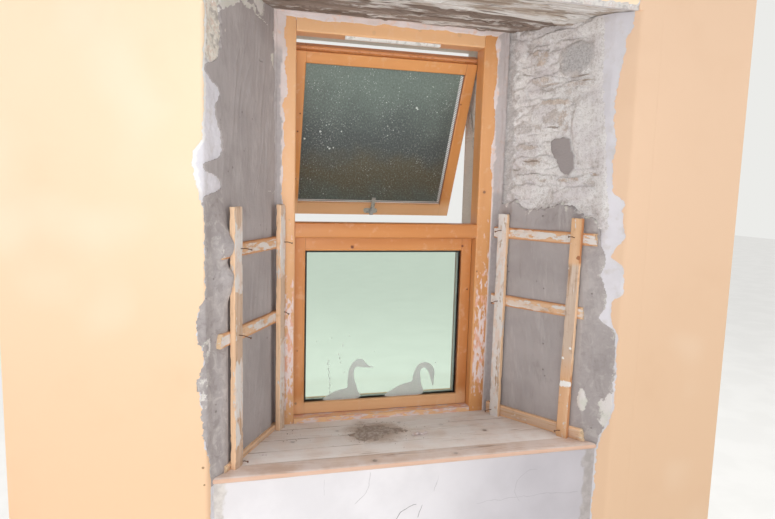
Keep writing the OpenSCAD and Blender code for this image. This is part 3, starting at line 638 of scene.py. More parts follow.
# %% Frosted film on the lower pane
def cut_out(outline, soft=6):
    """A flat sheet with a closed outline, rounded by a curve through its points."""
    p = np.asarray(outline, float)
    if soft:
        before, after, later = np.roll(p, 1, 0), np.roll(p, -1, 0), np.roll(p, -2, 0)
        t = np.linspace(0, 1, soft, endpoint=False)[None, :, None]
        a, b, c, d = (v[:, None] for v in (before, p, after, later))
        p = (0.5 * (2 * b + (c - a) * t + (2 * a - 5 * b + 4 * c - d) * t ** 2
                    + (3 * b - a - 3 * c + d) * t ** 3)).reshape(-1, 2)
    n = len(p)
    if np.sum(p[:, 0] * np.roll(p[:, 1], -1) - p[:, 1] * np.roll(p[:, 0], -1)) < 0:
        p = p[::-1]
    i = np.arange(n)
    j = (i + 1) % n
    points = metres(np.tile(p[:, 0], 2), np.repeat([54.6, 54.9], n), np.tile(p[:, 1], 2))
    faces = [i.tolist(), (i[::-1] + n).tolist()]
    return points, faces + quads(j, i, i + n, j + n), {}


AHEAD = [(-227, 813), (-197, 839), (-168, 850), (-138, 857), (-136, 876), (-135, 897), (-130, 929),
         (-116, 954), (-94, 968), (-76, 964), (-66, 951), (-52, 939), (-35, 935), (-42, 931),
         (-62, 933), (-86, 935), (-103, 936), (-111, 918), (-110, 893), (-103, 870), (-96, 846),
         (-95, 813)]
BOWED = [(16, 813), (50, 843), (84, 858), (121, 868), (125, 886), (133, 911), (146, 932), (168, 942),
         (192, 936), (209, 918), (215, 896), (213, 878), (212, 858), (210, 843), (204, 858),
         (197, 880), (189, 903), (178, 917), (165, 919), (156, 907), (156, 886), (160, 858), (160, 813)]
# Drops of film that dried on the pane: x, z and half the height.
DRIED = [(-209, 967, 5), (-212, 955, 6), (-206, 944, 4), (-210, 933, 6), (-206, 921, 5), (-209, 909, 5),
         (-204, 897, 6), (-206, 885, 5), (-203, 872, 6), (-206, 858, 5), (-203, 843, 6), (-205, 828, 5),
         (-200, 1053, 3), (-257, 1043, 3), (-156, 1024, 5), (-171, 989, 5), (-167, 974, 5),
         (-163, 957, 4), (-150, 918, 4), (-132, 1061, 4), (-33, 995, 3), (218, 938, 4)]
turns = np.linspace(0, 2 * math.pi, 10, endpoint=False)
film = piece("pane_film", [cut_out(AHEAD), cut_out(BOWED)] + [
    cut_out(np.stack([x + 0.32 * half * np.cos(turns), z + half * np.sin(turns)], -1), 0)
    for x, z, half in DRIED])
t = start("frosted_film")
dust = t.noise(t.here, 260.0, 3.0)
t.finish(t.mix(dust.fade(0.4, 0.65), (232, 236, 233), (243, 245, 243)), 0.75, dust, 0.0002,
         Transmission_Weight=0.55)
wear("frosted_film", film)

# %% Spacer bar with its row of pinholes
t = start("spacer_bar")
x, _, z = t.axes(t.here)
pin = t.math("SINE", (x + z) * 900.0).fade(0.2, 0.7)
t.finish(t.mix(pin, (214, 217, 216), (150, 154, 152)), 0.5, pin, 0.0003, Metallic=0.15)
wear("spacer_bar", "lower_spacer", "upper_spacer")


# %% Plain-looking fittings, with fine wear
def worn(name, base, mark, roughness, metallic=0.0, scale=60.0, cover=0.35, depth=0.00015):
    """A base colour with patches of another, and slight unevenness in gloss and height."""
    t = start(name)
    mask = t.group("patches", t.here, scale, cover, 0.06)
    t.finish(t.mix(mask, base, mark), mask.fade(0, 1, roughness, roughness + 0.18),
             t.noise(t.here, 900.0, 2.0) + mask, depth, Metallic=metallic)


for name, base, mark, roughness, metallic, *nodes in (
        ("seal", (222, 160, 114), (196, 136, 94), 0.6, 0.0, "upper_seal"),
        ("handle_metal", (190, 191, 190), (150, 150, 148), 0.36, 0.6, "sash_handle"),
        ("fitting_metal", (206, 206, 202), (178, 178, 174), 0.45, 0.35, "left_arm", "right_arm"),
        ("track_channel", (214, 210, 202), (190, 184, 174), 0.45, 0.0, "left_track", "right_track"),
        ("vent_strip", (232, 232, 230), (206, 206, 202), 0.4, 0.1, "head_vent")):
    worn(name, base, mark, roughness, metallic)
    wear(name, *nodes)


# %% [markdown]
# ## The wall's coats
# Grey cement render, old white plaster and the room's paint overlap round the recess. Each is a
# slab of its own. Where a coat has a broken outline, its front simply dives under the layer below
# it, so the outline is where two rough surfaces meet, as on the wall.

# %% Finishes of the coats
def plaster_tree(name, pale, dark, grit_scale=420.0):
    """A mottled mineral coat: returns its tree, colour, specks and fine height."""
    t = start(name)
    colour = t.mix(t.noise(t.here, 5.0, 4.0).fade(0.35, 0.65), pale, dark)
    return t, colour, *t.group("grit", t.here, grit_scale)


t, colour, speck, fine = plaster_tree("cement_render", (176, 168, 167), (163, 155, 154))
mark = t.group("trowel", t.here, (0.0, 0.22, 0.0))
damp = t.group("patches", t.here, 9.0, 0.18, 0.05)
worked, cloud = t.layer("worked"), t.noise(t.here, 26.0, 6.0, 0.72, 0.5)
colour = colour.mix(mark.fade(0.52, 0.66, 0.0, 0.45), (193, 186, 184))
colour = colour.mix(mark.fade(0.42, 0.3, 0.0, 0.4), (147, 139, 137))
colour = colour.lay(damp * 0.14, (150, 140, 135))
colour = colour.mix(worked * cloud.fade(0.5, 0.64, 0.0, 0.6), (202, 196, 192))
colour = colour.mix(worked * cloud.fade(0.46, 0.36, 0.0, 0.5), (138, 130, 127))
lime = t.mix(t.noise(t.here, 16.0, 3.0).fade(0.4, 0.6), (210, 208, 199), (222, 216, 213))
colour = colour.mix((t.layer("lime") + (fine - 0.5) * 1.6).fade(0.25, 0.75), lime)
dots = t.cells(t.here, 34.0).fall(0.1, 0.17) * t.noise(t.here, 9.0).fade(0.56, 0.6)
colour = colour.mix(dots * 0.6, (104, 96, 92)).mix(speck * 0.5, (122, 114, 110))
t.finish(colour, 0.92, mark * 1.8 + fine * 0.5, 0.0014)


# %% Wall paint
def wall_paint(name, low, high, spots=()):
    """Emulsion over plaster, paler towards the top. Layers say where it has come off or is dirty."""
    t, colour, speck, fine = plaster_tree(name, (226, 223, 229), (213, 209, 214), 300.0)
    paint = t.mix(t.axes(t.here)[2].fade(0.6, 2.1), low, high)
    paint = paint.lay(t.noise(t.here, 4.0, 3.0).fade(0.5, 0.8, 0.0, 0.1), (225, 205, 180))
    paint = paint.mix(t.noise(t.here, 1.7, 2.0).fade(0.6, 0.75, 0.0, 0.25), (255, 246, 228))
    for spot_x, spot_z, radius in spots:
        mask, _ = t.knot(t.here, (spot_x, ROOM_FACE + 1000 * FACE_Y, spot_z), radius)
        paint = paint.mix(mask * 0.8, (140, 106, 72))
    mask = (t.layer("painted") + (fine - 0.5) * 0.35).fade(0.42, 0.58)
    tone = t.noise(t.place(t.here, scale=(1, 1, 1.2)), 34.0, 3.0, 0.6)
    aged = t.mix(tone.fade(0.36, 0.5), (182, 174, 166), (224, 217, 206))
    aged = aged.mix(tone.fade(0.53, 0.6), (214, 196, 182))
    aged = aged.mix(tone.fade(0.62, 0.68), (236, 233, 230))
    colour = colour.mix(t.noise(t.here, 24.0, 5.0).fade(0.52, 0.72, 0.0, 0.35), (190, 180, 168))
    colour = colour.mix(t.layer("lumpy"), aged).mix(speck * 0.45, (156, 146, 136))
    colour = colour.mix(t.layer("rim"), (250, 248, 244)).mix(mask, paint)
    stipple = t.noise(t.here, 420.0, 2.0) * 0.4 + fine * mask.fade(0, 1, 1.0, 0.15)
    t.finish(colour, 0.85, stipple, 0.0006)


wall_paint("left_wall_paint", (239, 200, 163), (252, 228, 197), [(-646, 800, 4), (-643, 747, 3)])
wall_paint("right_wall_paint", (232, 196, 162), (238, 203, 172))

# %% [markdown]
# ### The left reveal
# Grey render covers nearly the whole reveal. Its front edge runs unevenly down the old plaster at
# the arris, with two tongues that reach the corner, and below the height of the laths it wraps
# right round on to the room face. A few (height, distance) pairs give the run of that edge, and
# noise makes it ragged.

# %% The left render's edges, as tables
LEFT_EDGE = [(720, 446), (815, 452), (895, 474), (995, 482), (1057, 490), (1095, 475), (1155, 474),
             (1175, 488), (1240, 490), (1262, 482), (1300, 464), (1480, 466), (1560, 470),
             (1590, 470), (1600, 376), (1640, 380), (1652, 462), (1668, 468), (1682, 462),
             (1692, 372), (1730, 366), (1772, 378), (1800, 400), (1832, 409), (1862, 385),
             (1880, 368), (1900, 420), (1912, 440), (1930, 459), (1948, 440), (1960, 392),
             (2005, 375), (2056, 366), (2100, 380), (2160, 372), (2215, 380)]
LEFT_REAR = [(720, 0), (1600, 0), (1750, 0), (1774, 17), (1800, 2), (1840, 0), (1905, 2), (1990, 0),
             (2020, 30), (2030, 42), (2054, 42), (2066, 4), (2095, 14), (2129, 26), (2142, 0),
             (2205, 0)]
LEFT_LAP = [(700, 13), (1270, 14), (1292, 20), (1314, 29), (1345, 37), (1366, 34), (1382, 18),
            (1398, 13), (1410, 18), (1421, 32), (1437, 37), (1457, 37), (1485, 19), (1510, 8),
            (1540, 0), (2300, 0)]


def trowelled(a, z, seed):
    """Render's relief: slow waves, long trowel ridges that curve upwards, and a little sand."""
    bend = a + 0.16 * z + 26 * rough(a / 160, z / 260, 2, seed + 5)
    return (1.8 * rough(a / 170, z / 240, 3, seed)
            + 0.9 * rough(bend / 17, z / 210, 3, seed + 9)
            + 0.25 * rough(a / 7, z / 9, 2, seed + 13))


def inside_box(line, a, height):
    """Holds a coat back to the room face where it has turned on to it."""
    facing = ease(-np.interp(a, line[0], line[4]), 0.88, 0.97)
    return height - np.maximum(height, 0) * facing


# %% Relief of the left render
a, z = grid(0, 505, BOARD_Z - 20, SOFFIT_Z, 3.6)
edge = follow(z, LEFT_EDGE, 8) + wander(z, 4, 26, 3) + 5 * bumps(a, z, 11, 4, 8)
rear = follow(z, LEFT_REAR, 6) + 5 * bumps(a, z, 12, 3, 10)
bare_low = ease(1640 - z, 0, 60) * ease(a, 352, 372)
relief = trowelled(a, z, 21) + bare_low * (2.4 * bumps(a, z, 45, 4, 30) - 0.4)
relief += ease(a, 314, 334) * (np.maximum(relief, 0.3) - relief)
relief += 10 * ease(a, 22, 70) * ease(1600 - z, 0, 110) * ease(430 - a, 0, 60)
for ridge_a, ridge_z, length in ((262, 2010, 60), (232, 2000, 90), (205, 1960, 50), (120, 1700, 110),
                                 (150, 1640, 70), (60, 1680, 60)):
    along = (z - ridge_z) / length
    relief += 1.3 * ridge(a - ridge_a + 30 * along, 7) * ridge(along, 1, 0.5)
ragged = 7 * bumps(a, z, 24, 4, 33)
fillet = (follow(z + ragged, LEFT_LAP, 6) - 10) * (1 - ease(a + ragged, 362, 418))
over_end = 12 * ease(414 - a - 0.9 * np.abs(z - 1402) + ragged, 0, 14) * ease(1456 - z, 0, 12)
relief += ease(a, 352, 359) * np.maximum(fillet, over_end * ease(z + ragged, 1402, 1418))

# %% Its cracks and its broken edge
cover = ease(edge - a, 0, 9)
gouge = -3.5 * ease(1 - np.hypot((a - 113) / 20, (z - 2018 - (a - 113) * 0.1) / 3.6), 0, 0.5)
crack = -2.0 * ridge(z - 2141 - (a - 73) * 0.12 - wander(a, 3, 20, 4), 2.6) * window(a, 55, 165, 15)
scratch = ridge(z - 1596 - wander(a, 4, 14, 6), 2.4) * ease(a, 2, 8) * ease(72 - a, 0, 8)
height = -21 + cover * (20.5 + relief + gouge + crack - scratch) + 0.8 * ease(edge - a, 3, 14)
height = inside_box(LEFT_LINE, a, height - 1.6 * ease(rear - a, -3, 3))
torn = z + 14 * rough(a / 22, z / 16, 4, 37)
pale_patch = sum(ease(lens(a, z, *oval, 0, 2.0), 0, 0.5)
                 for oval in ((462, 1022, 34, 60), (452, 1160, 26, 50)))
pale_patch *= ease(rough(a / 18, z / 18, 4, 44, 0.6), -0.7, 0.5)
lime = np.clip(bare_low * 0.75 * pale_patch
               + ease(torn, 2135, 2175) * ease(rough(a / 50, z / 30, 4, 43), -0.2, 0.3)
               * window(a, 70, 250, 50) + ease(rear - a, -3, 3) * ease(z, 1650, 1700)
               + ease(torn + 0.4 * a, 2250, 2258) + 0.9 * (crack < -0.8) + 0.9 * scratch, 0, 1)
left_coat = piece("left_reveal_coat",
                  [coat(LEFT_LINE, -1, a, z, height, -18, lime=lime, worked=bare_low)],
                  ["left_reveal_render"])
wear("cement_render", left_coat)

# %% [markdown]
# The old plaster at the arris is a strip that follows the same plan line from the reveal round to
# the room face, and goes on flat to the end of the wall. A layer of values says where it is still
# painted, and the paint's edge is again a few pairs of height and distance. Near the top of the
# left arris the plaster is a lumpy patchwork of older coats.

# %% Old plaster on the two arrises
LEFT_PAINT = [(0, 450), (815, 446), (845, 470), (895, 474), (995, 482), (1057, 489), (1090, 474),
              (1150, 472), (1175, 489), (1240, 491), (1262, 483), (1305, 463), (1480, 466),
              (1540, 465), (1595, 475), (1640, 482), (1677, 490), (1710, 486), (1743, 461),
              (1825, 456), (1900, 450), (1930, 460), (1955, 452), (2100, 446), (2215, 446)]
RIGHT_PAINT = [(0, 446), (744, 450), (790, 466), (830, 482), (880, 496), (1000, 495), (1150, 492),
               (1190, 464), (1262, 462), (1282, 503), (1385, 495), (1394, 456), (1433, 453),
               (1469, 496), (1534, 480), (1606, 479), (1614, 446), (1705, 435), (1797, 442),
               (1843, 430), (1933, 429), (2022, 444), (2119, 453), (2153, 467), (2215, 473)]
RIGHT_BAND = [(0, 395), (1400, 430), (1565, 427), (1705, 413), (1844, 398), (1982, 379), (2073, 377),
              (2164, 371), (2215, 366)]


def arris_strip(line, side, start_a, end_a, paint, seed, uneven):
    """The strip's front: just under the render, rough where bare, smooth where painted."""
    a, z = grid(start_a, end_a, 0, SOFFIT_Z, 3.4)
    left = side < 0
    edge = follow(z, paint) + wander(z, 4, 18, seed) + 2 * bumps(a, z, 8, 3, seed)
    if left:
        edge = edge - 9 * ease(1590 - z, 0, 60)
    painted = ease(a - edge, -3, 3)
    old = ease(z + 20 * bumps(a, z, 30, 2, seed + 6), 1920, 1960) * left
    bare = -0.5 - uneven + uneven * (rough(a / 40, z / 60, 4, seed + 2)
                                     + 0.3 * bumps(a, z, 8, 2, seed))
    bare = bare + old * (2.6 * rough(a / 20, z / 26, 3, seed + 7) - 1.5)
    height = bare * (1 - ease(a - edge, -6, 5))
    if not left:
        band = follow(z, RIGHT_BAND) + wander(z, 4, 26, seed + 4)
        height = height - 15 * ease(band - a, -2, 40)
    rim = ease(a - edge, -14, -8) * (1 - painted) * left * ease(z, 1560, 1630)
    return coat(line, side, a, z, inside_box(line, a, height), -19, painted=painted,
                lumpy=old * (1 - painted) * (1 - 0.7 * rim), rim=0.8 * rim)


# %% Painted wall panels
def wall_panel(side, x0, x1, z0, z1, bare_to):
    """A flat stretch of the wall, bare from x0 up to a wandering line at bare_to."""
    x, z = grid(x0, x1, z0, z1, 40 if x1 - x0 > 200 else 6)
    front = metres(side * x, ROOM_FACE, z)
    low, high = (metres(side * x[0], PLASTER_BACK, h) for h in (z0, z1))
    return slab(front, low, high, side < 0,
                painted=ease(x - bare_to - wander(z, 3, 22, 90), -3, 3) if bare_to else np.ones(x.shape))


LEFT_FLAT_X, RIGHT_FLAT_X, END_X, BARE_TO = 697.3, 791.9, 1150, 694
head_x = [1000 * abs(v[0]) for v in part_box("head_plaster")]
left_wall = piece("left_wall_coat", [
    arris_strip(LEFT_LINE, -1, 340, 520, LEFT_PAINT, 51, 1.6),
    wall_panel(-1, LEFT_FLAT_X, END_X, 0, TOP_Z, 0),
    wall_panel(-1, head_x[0], LEFT_FLAT_X, SOFFIT_Z, TOP_Z, 638)],
    ["left_wall_plaster"])
right_wall = piece("right_wall_coat", [
    arris_strip(RIGHT_LINE, 1, 350, 575, RIGHT_PAINT, 71, 0.7),
    wall_panel(1, RIGHT_FLAT_X, END_X, 0, TOP_Z, 0),
    wall_panel(1, head_x[1], RIGHT_FLAT_X, SOFFIT_Z, TOP_Z, BARE_TO)],
    ["right_wall_plaster"])
x, z = grid(-head_x[0], head_x[1], SOFFIT_Z, TOP_Z, 6)
edge = SOFFIT_Z + 16 + wander(x, 6, 40, 95)
front = metres(x, ROOM_FACE - 15 * np.minimum(ease(z - edge, -4, 6) - 1, 0) * 0.25, z)
low, high = (metres(x[0], PLASTER_BACK, h) for h in (SOFFIT_Z, TOP_Z))
head = piece("head_coat", [slab(front, low, high, painted=ease(z - edge, -3, 3) * ease(
    BARE_TO + wander(z, 3, 22, 90) - x, -3, 3), lumpy=0.6 * ease(edge - z, -3, 3))],
             ["head_plaster"])
wear("left_wall_paint", left_wall, head)
wear("right_wall_paint", right_wall)
print("over the recess, x from", round(-head_x[0], 1), "to", round(head_x[1], 1))


# %% [markdown]
# ### The right reveal
# Here the render stops about half way up, so the wall behind shows: flat-bedded rubble under many
# coats of limewash, with one round grey boulder. The stones could be separate blocks, but under
# limewash they are one skin, so they are one height field. Every stone is an ellipse or a
# rounded box that lifts the field where it lies, and the wash softens everything.

# %% Right render
RIGHT_TOP = [(0, 1590), (26, 1578), (50, 1592), (68, 1598), (90, 1585), (117, 1563), (175, 1563),
             (224, 1580), (262, 1590), (293, 1588), (330, 1566), (352, 1551), (398, 1534),
             (420, 1510)]
RIGHT_EDGE = [(720, 440), (744, 446), (790, 460), (830, 476), (880, 490), (967, 487), (1003, 491),
              (1160, 481), (1194, 418), (1243, 450), (1300, 440), (1345, 424), (1415, 440),
              (1447, 411), (1515, 409), (1560, 405), (1700, 400)]
a, z = grid(0, 505, BOARD_Z - 20, 1625, 3.6)
top = follow(a, RIGHT_TOP, 9) + wander(a, 5, 20, 90) + 2.5 * bumps(a, z, 9, 3, 92)
edge = 9 + follow(z, RIGHT_EDGE, 10) + wander(z, 4, 22, 94) + 2.5 * bumps(a, z, 9, 3, 96)
relief = trowelled(a, z, 101)
relief += ease(a, 350, 375) * (np.maximum(relief, 0.4) - relief)
relief += 10 * ease(a, 22, 70) * ease(top - z, 12, 80) * ease(425 - a, 0, 60)
cover = ease(top - z, 0, 12) * ease(edge - a, 0, 9)
lump = lens(a + 3 * bumps(a, z, 12, 3, 97), z, 390, 897, 17, 46, 4, 2.0)
height = inside_box(RIGHT_LINE, a, -22 + cover * (21.5 + relief + 4 * ease(lump, 0, 0.6)))
pale = ease(edge - a, 34, 4) * ease(rough(a / 40, z / 50, 4, 103), -0.25, 0.3) * ease(1440 - z, 0, 60)
patch = lens(a, z, 476, 872, 34, 66, 0, 2.0) + 0.3 * bumps(a, z, 16, 4, 99)
splashed = 0.75 * ease(top - z + 16 * rough(a / 14, z / 14, 4, 98, 0.65), 26, -4)
pale = np.clip(0.55 * pale + 0.9 * ease(lump, 0, 0.2) + 0.8 * ease(patch, -0.05, 0.35) + splashed, 0, 1)
right_coat = piece("right_reveal_coat",
                   [coat(RIGHT_LINE, 1, a, z, height, -19, lime=pale, worked=0.6 * ease(a, 356, 380))],
                   ["right_reveal_render"])
wear("cement_render", right_coat)

# %% [markdown]
# The named stones are set where the photographed wall has them; thin courses of flat stones fill
# the rest. Three layers of values go with the relief: how brown the bare stone is, how grey, and
# how much limewash is left on it.

# %% Stones and crevices, as tables
STONES = [  # along, up, half width, half height, tilt, rise, brown, grey, limewash
    (287, 2078, 80, 62, 4, 13, 0.0, 1.0, 0.1), (144, 2093, 40, 34, -6, 9, 0.8, 0.0, 0.35),
    (165, 2015, 62, 20, 3, 10, 0.45, 0.0, 0.6), (300, 1994, 72, 14, -2, 12, 0.3, 0.1, 0.5),
    (180, 1888, 82, 62, 2, 9, 0.25, 0.25, 0.6), (252, 1882, 24, 76, 2, 5, 0.6, 0.0, 0.4),
    (205, 1940, 66, 14, -3, 8, 0.6, 0.0, 0.4), (332, 1840, 60, 138, 1, 11, 0.0, 0.1, 0.95),
    (140, 1727, 96, 26, 2, 9, 0.5, 0.1, 0.5), (118, 1782, 62, 12, -3, 10, 0.45, 0.2, 0.5),
    (285, 1665, 56, 9, 2, 12, 0.75, 0.0, 0.3), (150, 1672, 92, 16, -2, 9, 0.4, 0.1, 0.6),
    (70, 1960, 44, 38, 10, 7, 0.0, 0.4, 0.7), (60, 2130, 40, 46, -8, 7, 0.0, 0.3, 0.8),
    (215, 2165, 90, 20, 2, 8, 0.2, 0.2, 0.8), (330, 2178, 66, 18, -4, 7, 0.2, 0.2, 0.8),
    (90, 1850, 44, 30, 12, 7, 0.1, 0.4, 0.6), (310, 1620, 90, 26, 1, 8, 0.1, 0.1, 0.9),
    (120, 1625, 80, 24, 3, 8, 0.15, 0.2, 0.8)]
CREVICES = [(298, 2020, 44, 3.2, 3), (378, 1686, 30, 6, -4), (132, 1732, 50, 2.0, 0),
            (90, 2043, 20, 2.0, -10), (190, 2000, 56, 2.2, 4), (212, 1850, 34, 2.4, -2),
            (340, 2002, 60, 1.8, 2), (60, 1700, 30, 2.0, 6), (120, 2210, 90, 2.5, 2)]


# %% Small stones in courses, then the large ones
a, z = grid(0, 440, 1500, SOFFIT_Z, 2.7)
shift = bumps(a, z, 34, 3, 110)
aa, zz = a + 7 * shift, z + 6 * bumps(a, z, 30, 3, 112)
height = -14.5 + 1.6 * rough(a / 26, z / 20, 4, 114) + 0.8 * rough(a / 90, z / 60, 2, 115)
brown, grey = np.zeros(a.shape), 0.25 * ease(bumps(a, z, 40, 3, 116), 0, 0.6)
wash = 0.75 + 0.3 * rough(a / 45, z / 36, 4, 117)
for row in range(24):
    for stone in range(5):
        key = row * 7 + stone
        centre = stone * 105 + 40 * corner_value(row, stone, 5) + 20
        up = 1512 + row * 31 + 5 * corner_value(row, stone, 6)
        inside = lens(aa, zz, centre, up, 44 + 16 * corner_value(key, 1, 7),
                      11 + 4 * corner_value(key, 2, 8), 4 * corner_value(key, 3, 9))
        height = np.maximum(height, np.where(inside > 0, -14 + 4.5 * ease(inside, 0, 0.35), -99))
for centre_a, centre_z, half_w, half_h, tilt, rise, is_brown, is_grey, limed in STONES:
    inside = lens(aa, zz, centre_a, centre_z, half_w, half_h, tilt)
    top = -15 + rise * ease(inside, 0, 0.3) + 1.2 * rough(a / 20, z / 16, 4, int(centre_a))
    mask = ease(inside + 0.08 * bumps(a, z, 12, 3, 122), 0.0, 0.45)
    height = np.where(inside > 0, np.maximum(blend(height, top, mask), top), height)
    brown, grey = blend(brown, is_brown, mask), blend(grey, is_grey, mask)
    wash = blend(wash, limed + 0.35 * rough(a / 30, z / 24, 4, 120), mask)
for centre_a, centre_z, half_w, half_h, tilt in CREVICES:
    inside = lens(aa, z + 3 * rough(a / 22, 0.5, 3, 125), centre_a, centre_z, half_w, half_h, tilt)
    dip = ease(inside, 0, 0.6)
    height, wash, brown = height - 7 * dip, wash * (1 - dip), brown + 0.7 * dip

# %% Mortar band, cement patch and arris
band = ease(62 - a + 14 * shift, 0, 18)
grey, wash = np.maximum(grey, 0.75 * band), wash * (1 - 0.55 * band)
height = blend(height, -8 + 2.2 * bumps(a, z, 14, 4, 127), band)
blob = np.maximum(lens(aa, zz, 244, 1774, 40, 38, 20, 2.0), lens(aa, zz, 268, 1722, 30, 42, -8, 2.0))
smooth_patch = ease(blob, 0, 0.08)
height = blend(height, -4 + 0.8 * bumps(a, z, 60, 3, 129), smooth_patch)
height += 0.35 * bumps(a, z, 6, 2, 131) * (1 - smooth_patch)
arris = follow(z, RIGHT_BAND)
flush = ease(a, arris - 66, arris - 4)
height = height + (-0.3 + 0.3 * bumps(a, z, 9, 3, 133) - height) * flush
height -= 3.6 * ease(a + 5 * bumps(a, z, 12, 3, 134), arris, arris + 18)
wash = np.maximum(wash, 0.9 * ease(a, arris - 60, arris))
stones = piece("reveal_stones", [coat(RIGHT_LINE, 1, a, z, height, -19, brown=brown,
                                      grey=grey, wash=np.clip(wash, 0, 1),
                                      cement=smooth_patch)])

# %% Limewashed stone
t = start("limewashed_stone")
speck, fine = t.group("grit", t.here, 330.0)
tone = t.noise(t.here, 30.0, 5.0, 0.65)
raw = t.mix(tone.fade(0.35, 0.65), (216, 208, 203), (194, 184, 179))
raw = raw.mix(t.layer("brown"), t.mix(tone.fade(0.35, 0.65), (213, 195, 180), (190, 168, 150)))
raw = raw.mix(t.layer("grey"), t.mix(fine.fade(0.35, 0.65), (198, 195, 195), (172, 168, 168)))
thick = (t.layer("wash") + (fine - 0.5) * 1.3).fade(0.3, 0.66)
lime = t.mix(t.noise(t.here, 11.0, 4.0).fade(0.4, 0.7), (230, 227, 226), (217, 211, 212))
colour = raw.mix(thick, lime)
grains, blotch = t.noise(t.here, 170.0, 4.0, 0.8), t.noise(t.here, 52.0, 6.0, 0.75)
calm = t.layer("grey").fade(0.5, 0.9, 1.0, 0.35)
colour = colour.mix(calm * blotch.fade(0.5, 0.36, 0.0, 0.55), (186, 177, 172))
colour = colour.mix(calm * blotch.fade(0.54, 0.66, 0.0, 0.5), (234, 231, 230))
colour = colour.lay(grains.fade(0.5, 0.36, 0.0, 0.45), (184, 177, 174))
colour = colour.mix(grains.fade(0.6, 0.72, 0.0, 0.5), (240, 238, 237))
colour = colour.mix(speck * 0.6, (132, 122, 114)).mix(t.layer("cement"), (160, 152, 151))
t.finish(colour, 0.95, fine + thick * 0.3, 0.0022)
wear("limewashed_stone", stones)

# %% [markdown]
# ### The filler round the frame
# Pale mortar was pressed into the joint round the frame and smeared over its edge. It is a strip
# carried up one jamb, over the head and down the other. Across it, points start on the frame,
# reach the corner and go on along the reveal. Where it turns at the top, jamb and head share
# their points, so the corner is mitred.

# %% Filler strip
INNER = {"left": ([750, 1560, 1707, 1827, 1966, 2182], [390, 388, 388, 374, 371, 370]),
         "right": ([750, 1572, 1623, 1698, 1823, 1897, 2079, 2182],
                   [402, 406, 396, 389, 391, 395, 391, 390])}
UP_ROWS, OVER_ROWS, COLUMNS = 380, 218, 17
FOOT_Z, FRAME_TOP_Z, JAMB_RUN, HEAD_RUN = BOARD_Z + 0.5, 2182.0, 1440, 800


def strip(inner, corner, outward, roomward, share, reach):
    """Distances out and into the room, the corner between the two parts hollowed."""
    out = inner + (corner - inner) * share + outward * reach
    room = roomward * reach + 0 * inner
    for _ in range(3):
        for v in (out, room):
            v[:, 1:-1] = (v[:, :-2] + 2 * v[:, 1:-1] + v[:, 2:]) / 4
    return out, room


def filler_front():
    """Rows go up, over and down; columns run from the frame, round the corner, on to the reveal.

    Each point is a distance out from the window's middle and one into the room. The mortar
    stands off that line, and dives under frame and reveal where it ends. Returns points and how
    far the mortar is the reveal's own grey.
    """
    up, over = np.linspace(0, 1, UP_ROWS)[:, None], np.linspace(0, 1, OVER_ROWS + 2)[1:-1, None]
    share = np.concatenate([np.linspace(0, 1, 10), np.ones(7)])
    reach = np.concatenate([np.zeros(10), 2.8 * np.arange(1, 8)])
    turn = ease(np.arange(float(COLUMNS)), 7, 12)
    height = FOOT_Z + (FRAME_TOP_Z - FOOT_Z) * up
    left, left_room = strip(np.interp(height, *INNER["left"]) - 8, LEFT_X, 0.488, 0.873, share, reach)
    right, right_room = strip(np.interp(height, *INNER["right"]) - 8, RIGHT_X, 0.549, 0.836, share,
                              reach)
    high, _ = strip(np.full((1, 1), FRAME_TOP_Z - 2), SOFFIT_Z, 0.1, 1.0, share, reach)
    x = np.concatenate([-left, -left[-1] + (left[-1] + right[-1]) * over, right[::-1]])
    z = np.concatenate([FOOT_Z + (high - FOOT_Z) * up, high * np.ones_like(over),
                        high - (high - FOOT_Z) * up])
    room = np.concatenate([left_room, left_room[-1] + (right_room[-1] - left_room[-1]) * over,
                           right_room[::-1]])
    run = np.concatenate([JAMB_RUN * up, JAMB_RUN + HEAD_RUN * over,
                          JAMB_RUN + HEAD_RUN + JAMB_RUN * up])
    lap = 0.26 + 0.2 * rough(run / 60, 0.2, 3, 140) + 0.06 * rough(run / 12, share * 3, 2, 141)
    end = 12 + 6 * rough(run / 34, 0.6, 4, 144)
    there = ease(share, lap, lap + 0.12) * ease(end - reach, -2, 2)
    stand = -1.6 + there * (2.6 + 2.4 * share) + 0.5 * rough(run / 14, share * 3 + reach / 8, 3, 142)
    corner = math.pi / 4 * np.concatenate([ease(up, 0.985, 1), 1 + ease(over, 0, 0.03)
                                           + ease(over, 0.97, 1), 3 + ease(up, 0, 0.015)])
    inward = stand * 0.87 * turn
    run = run[:UP_ROWS]
    left_grey = ease(left - LEFT_X + 16 + 6 * rough(run / 30, 0.8, 4, 146), -2, 2) * ease(
        2075 + 40 * rough(run / 40, 0.4, 3, 147) - z[:UP_ROWS], -60, 50)
    right_grey = 0.7 * ease(right - RIGHT_X + 22 + 8 * rough(run / 30, 0.8, 4, 148), -2, 2) * ease(
        height - 1600, -12, 12) + ease(right - 404, -1, 3) * ease(1600 - height, -12, 12)
    grey = np.concatenate([left_grey, np.zeros((OVER_ROWS, COLUMNS)), right_grey[::-1]])
    return metres(x + inward * np.cos(corner), -room - stand * (1 - 0.5 * turn),
                  z - inward * np.sin(corner)), grey


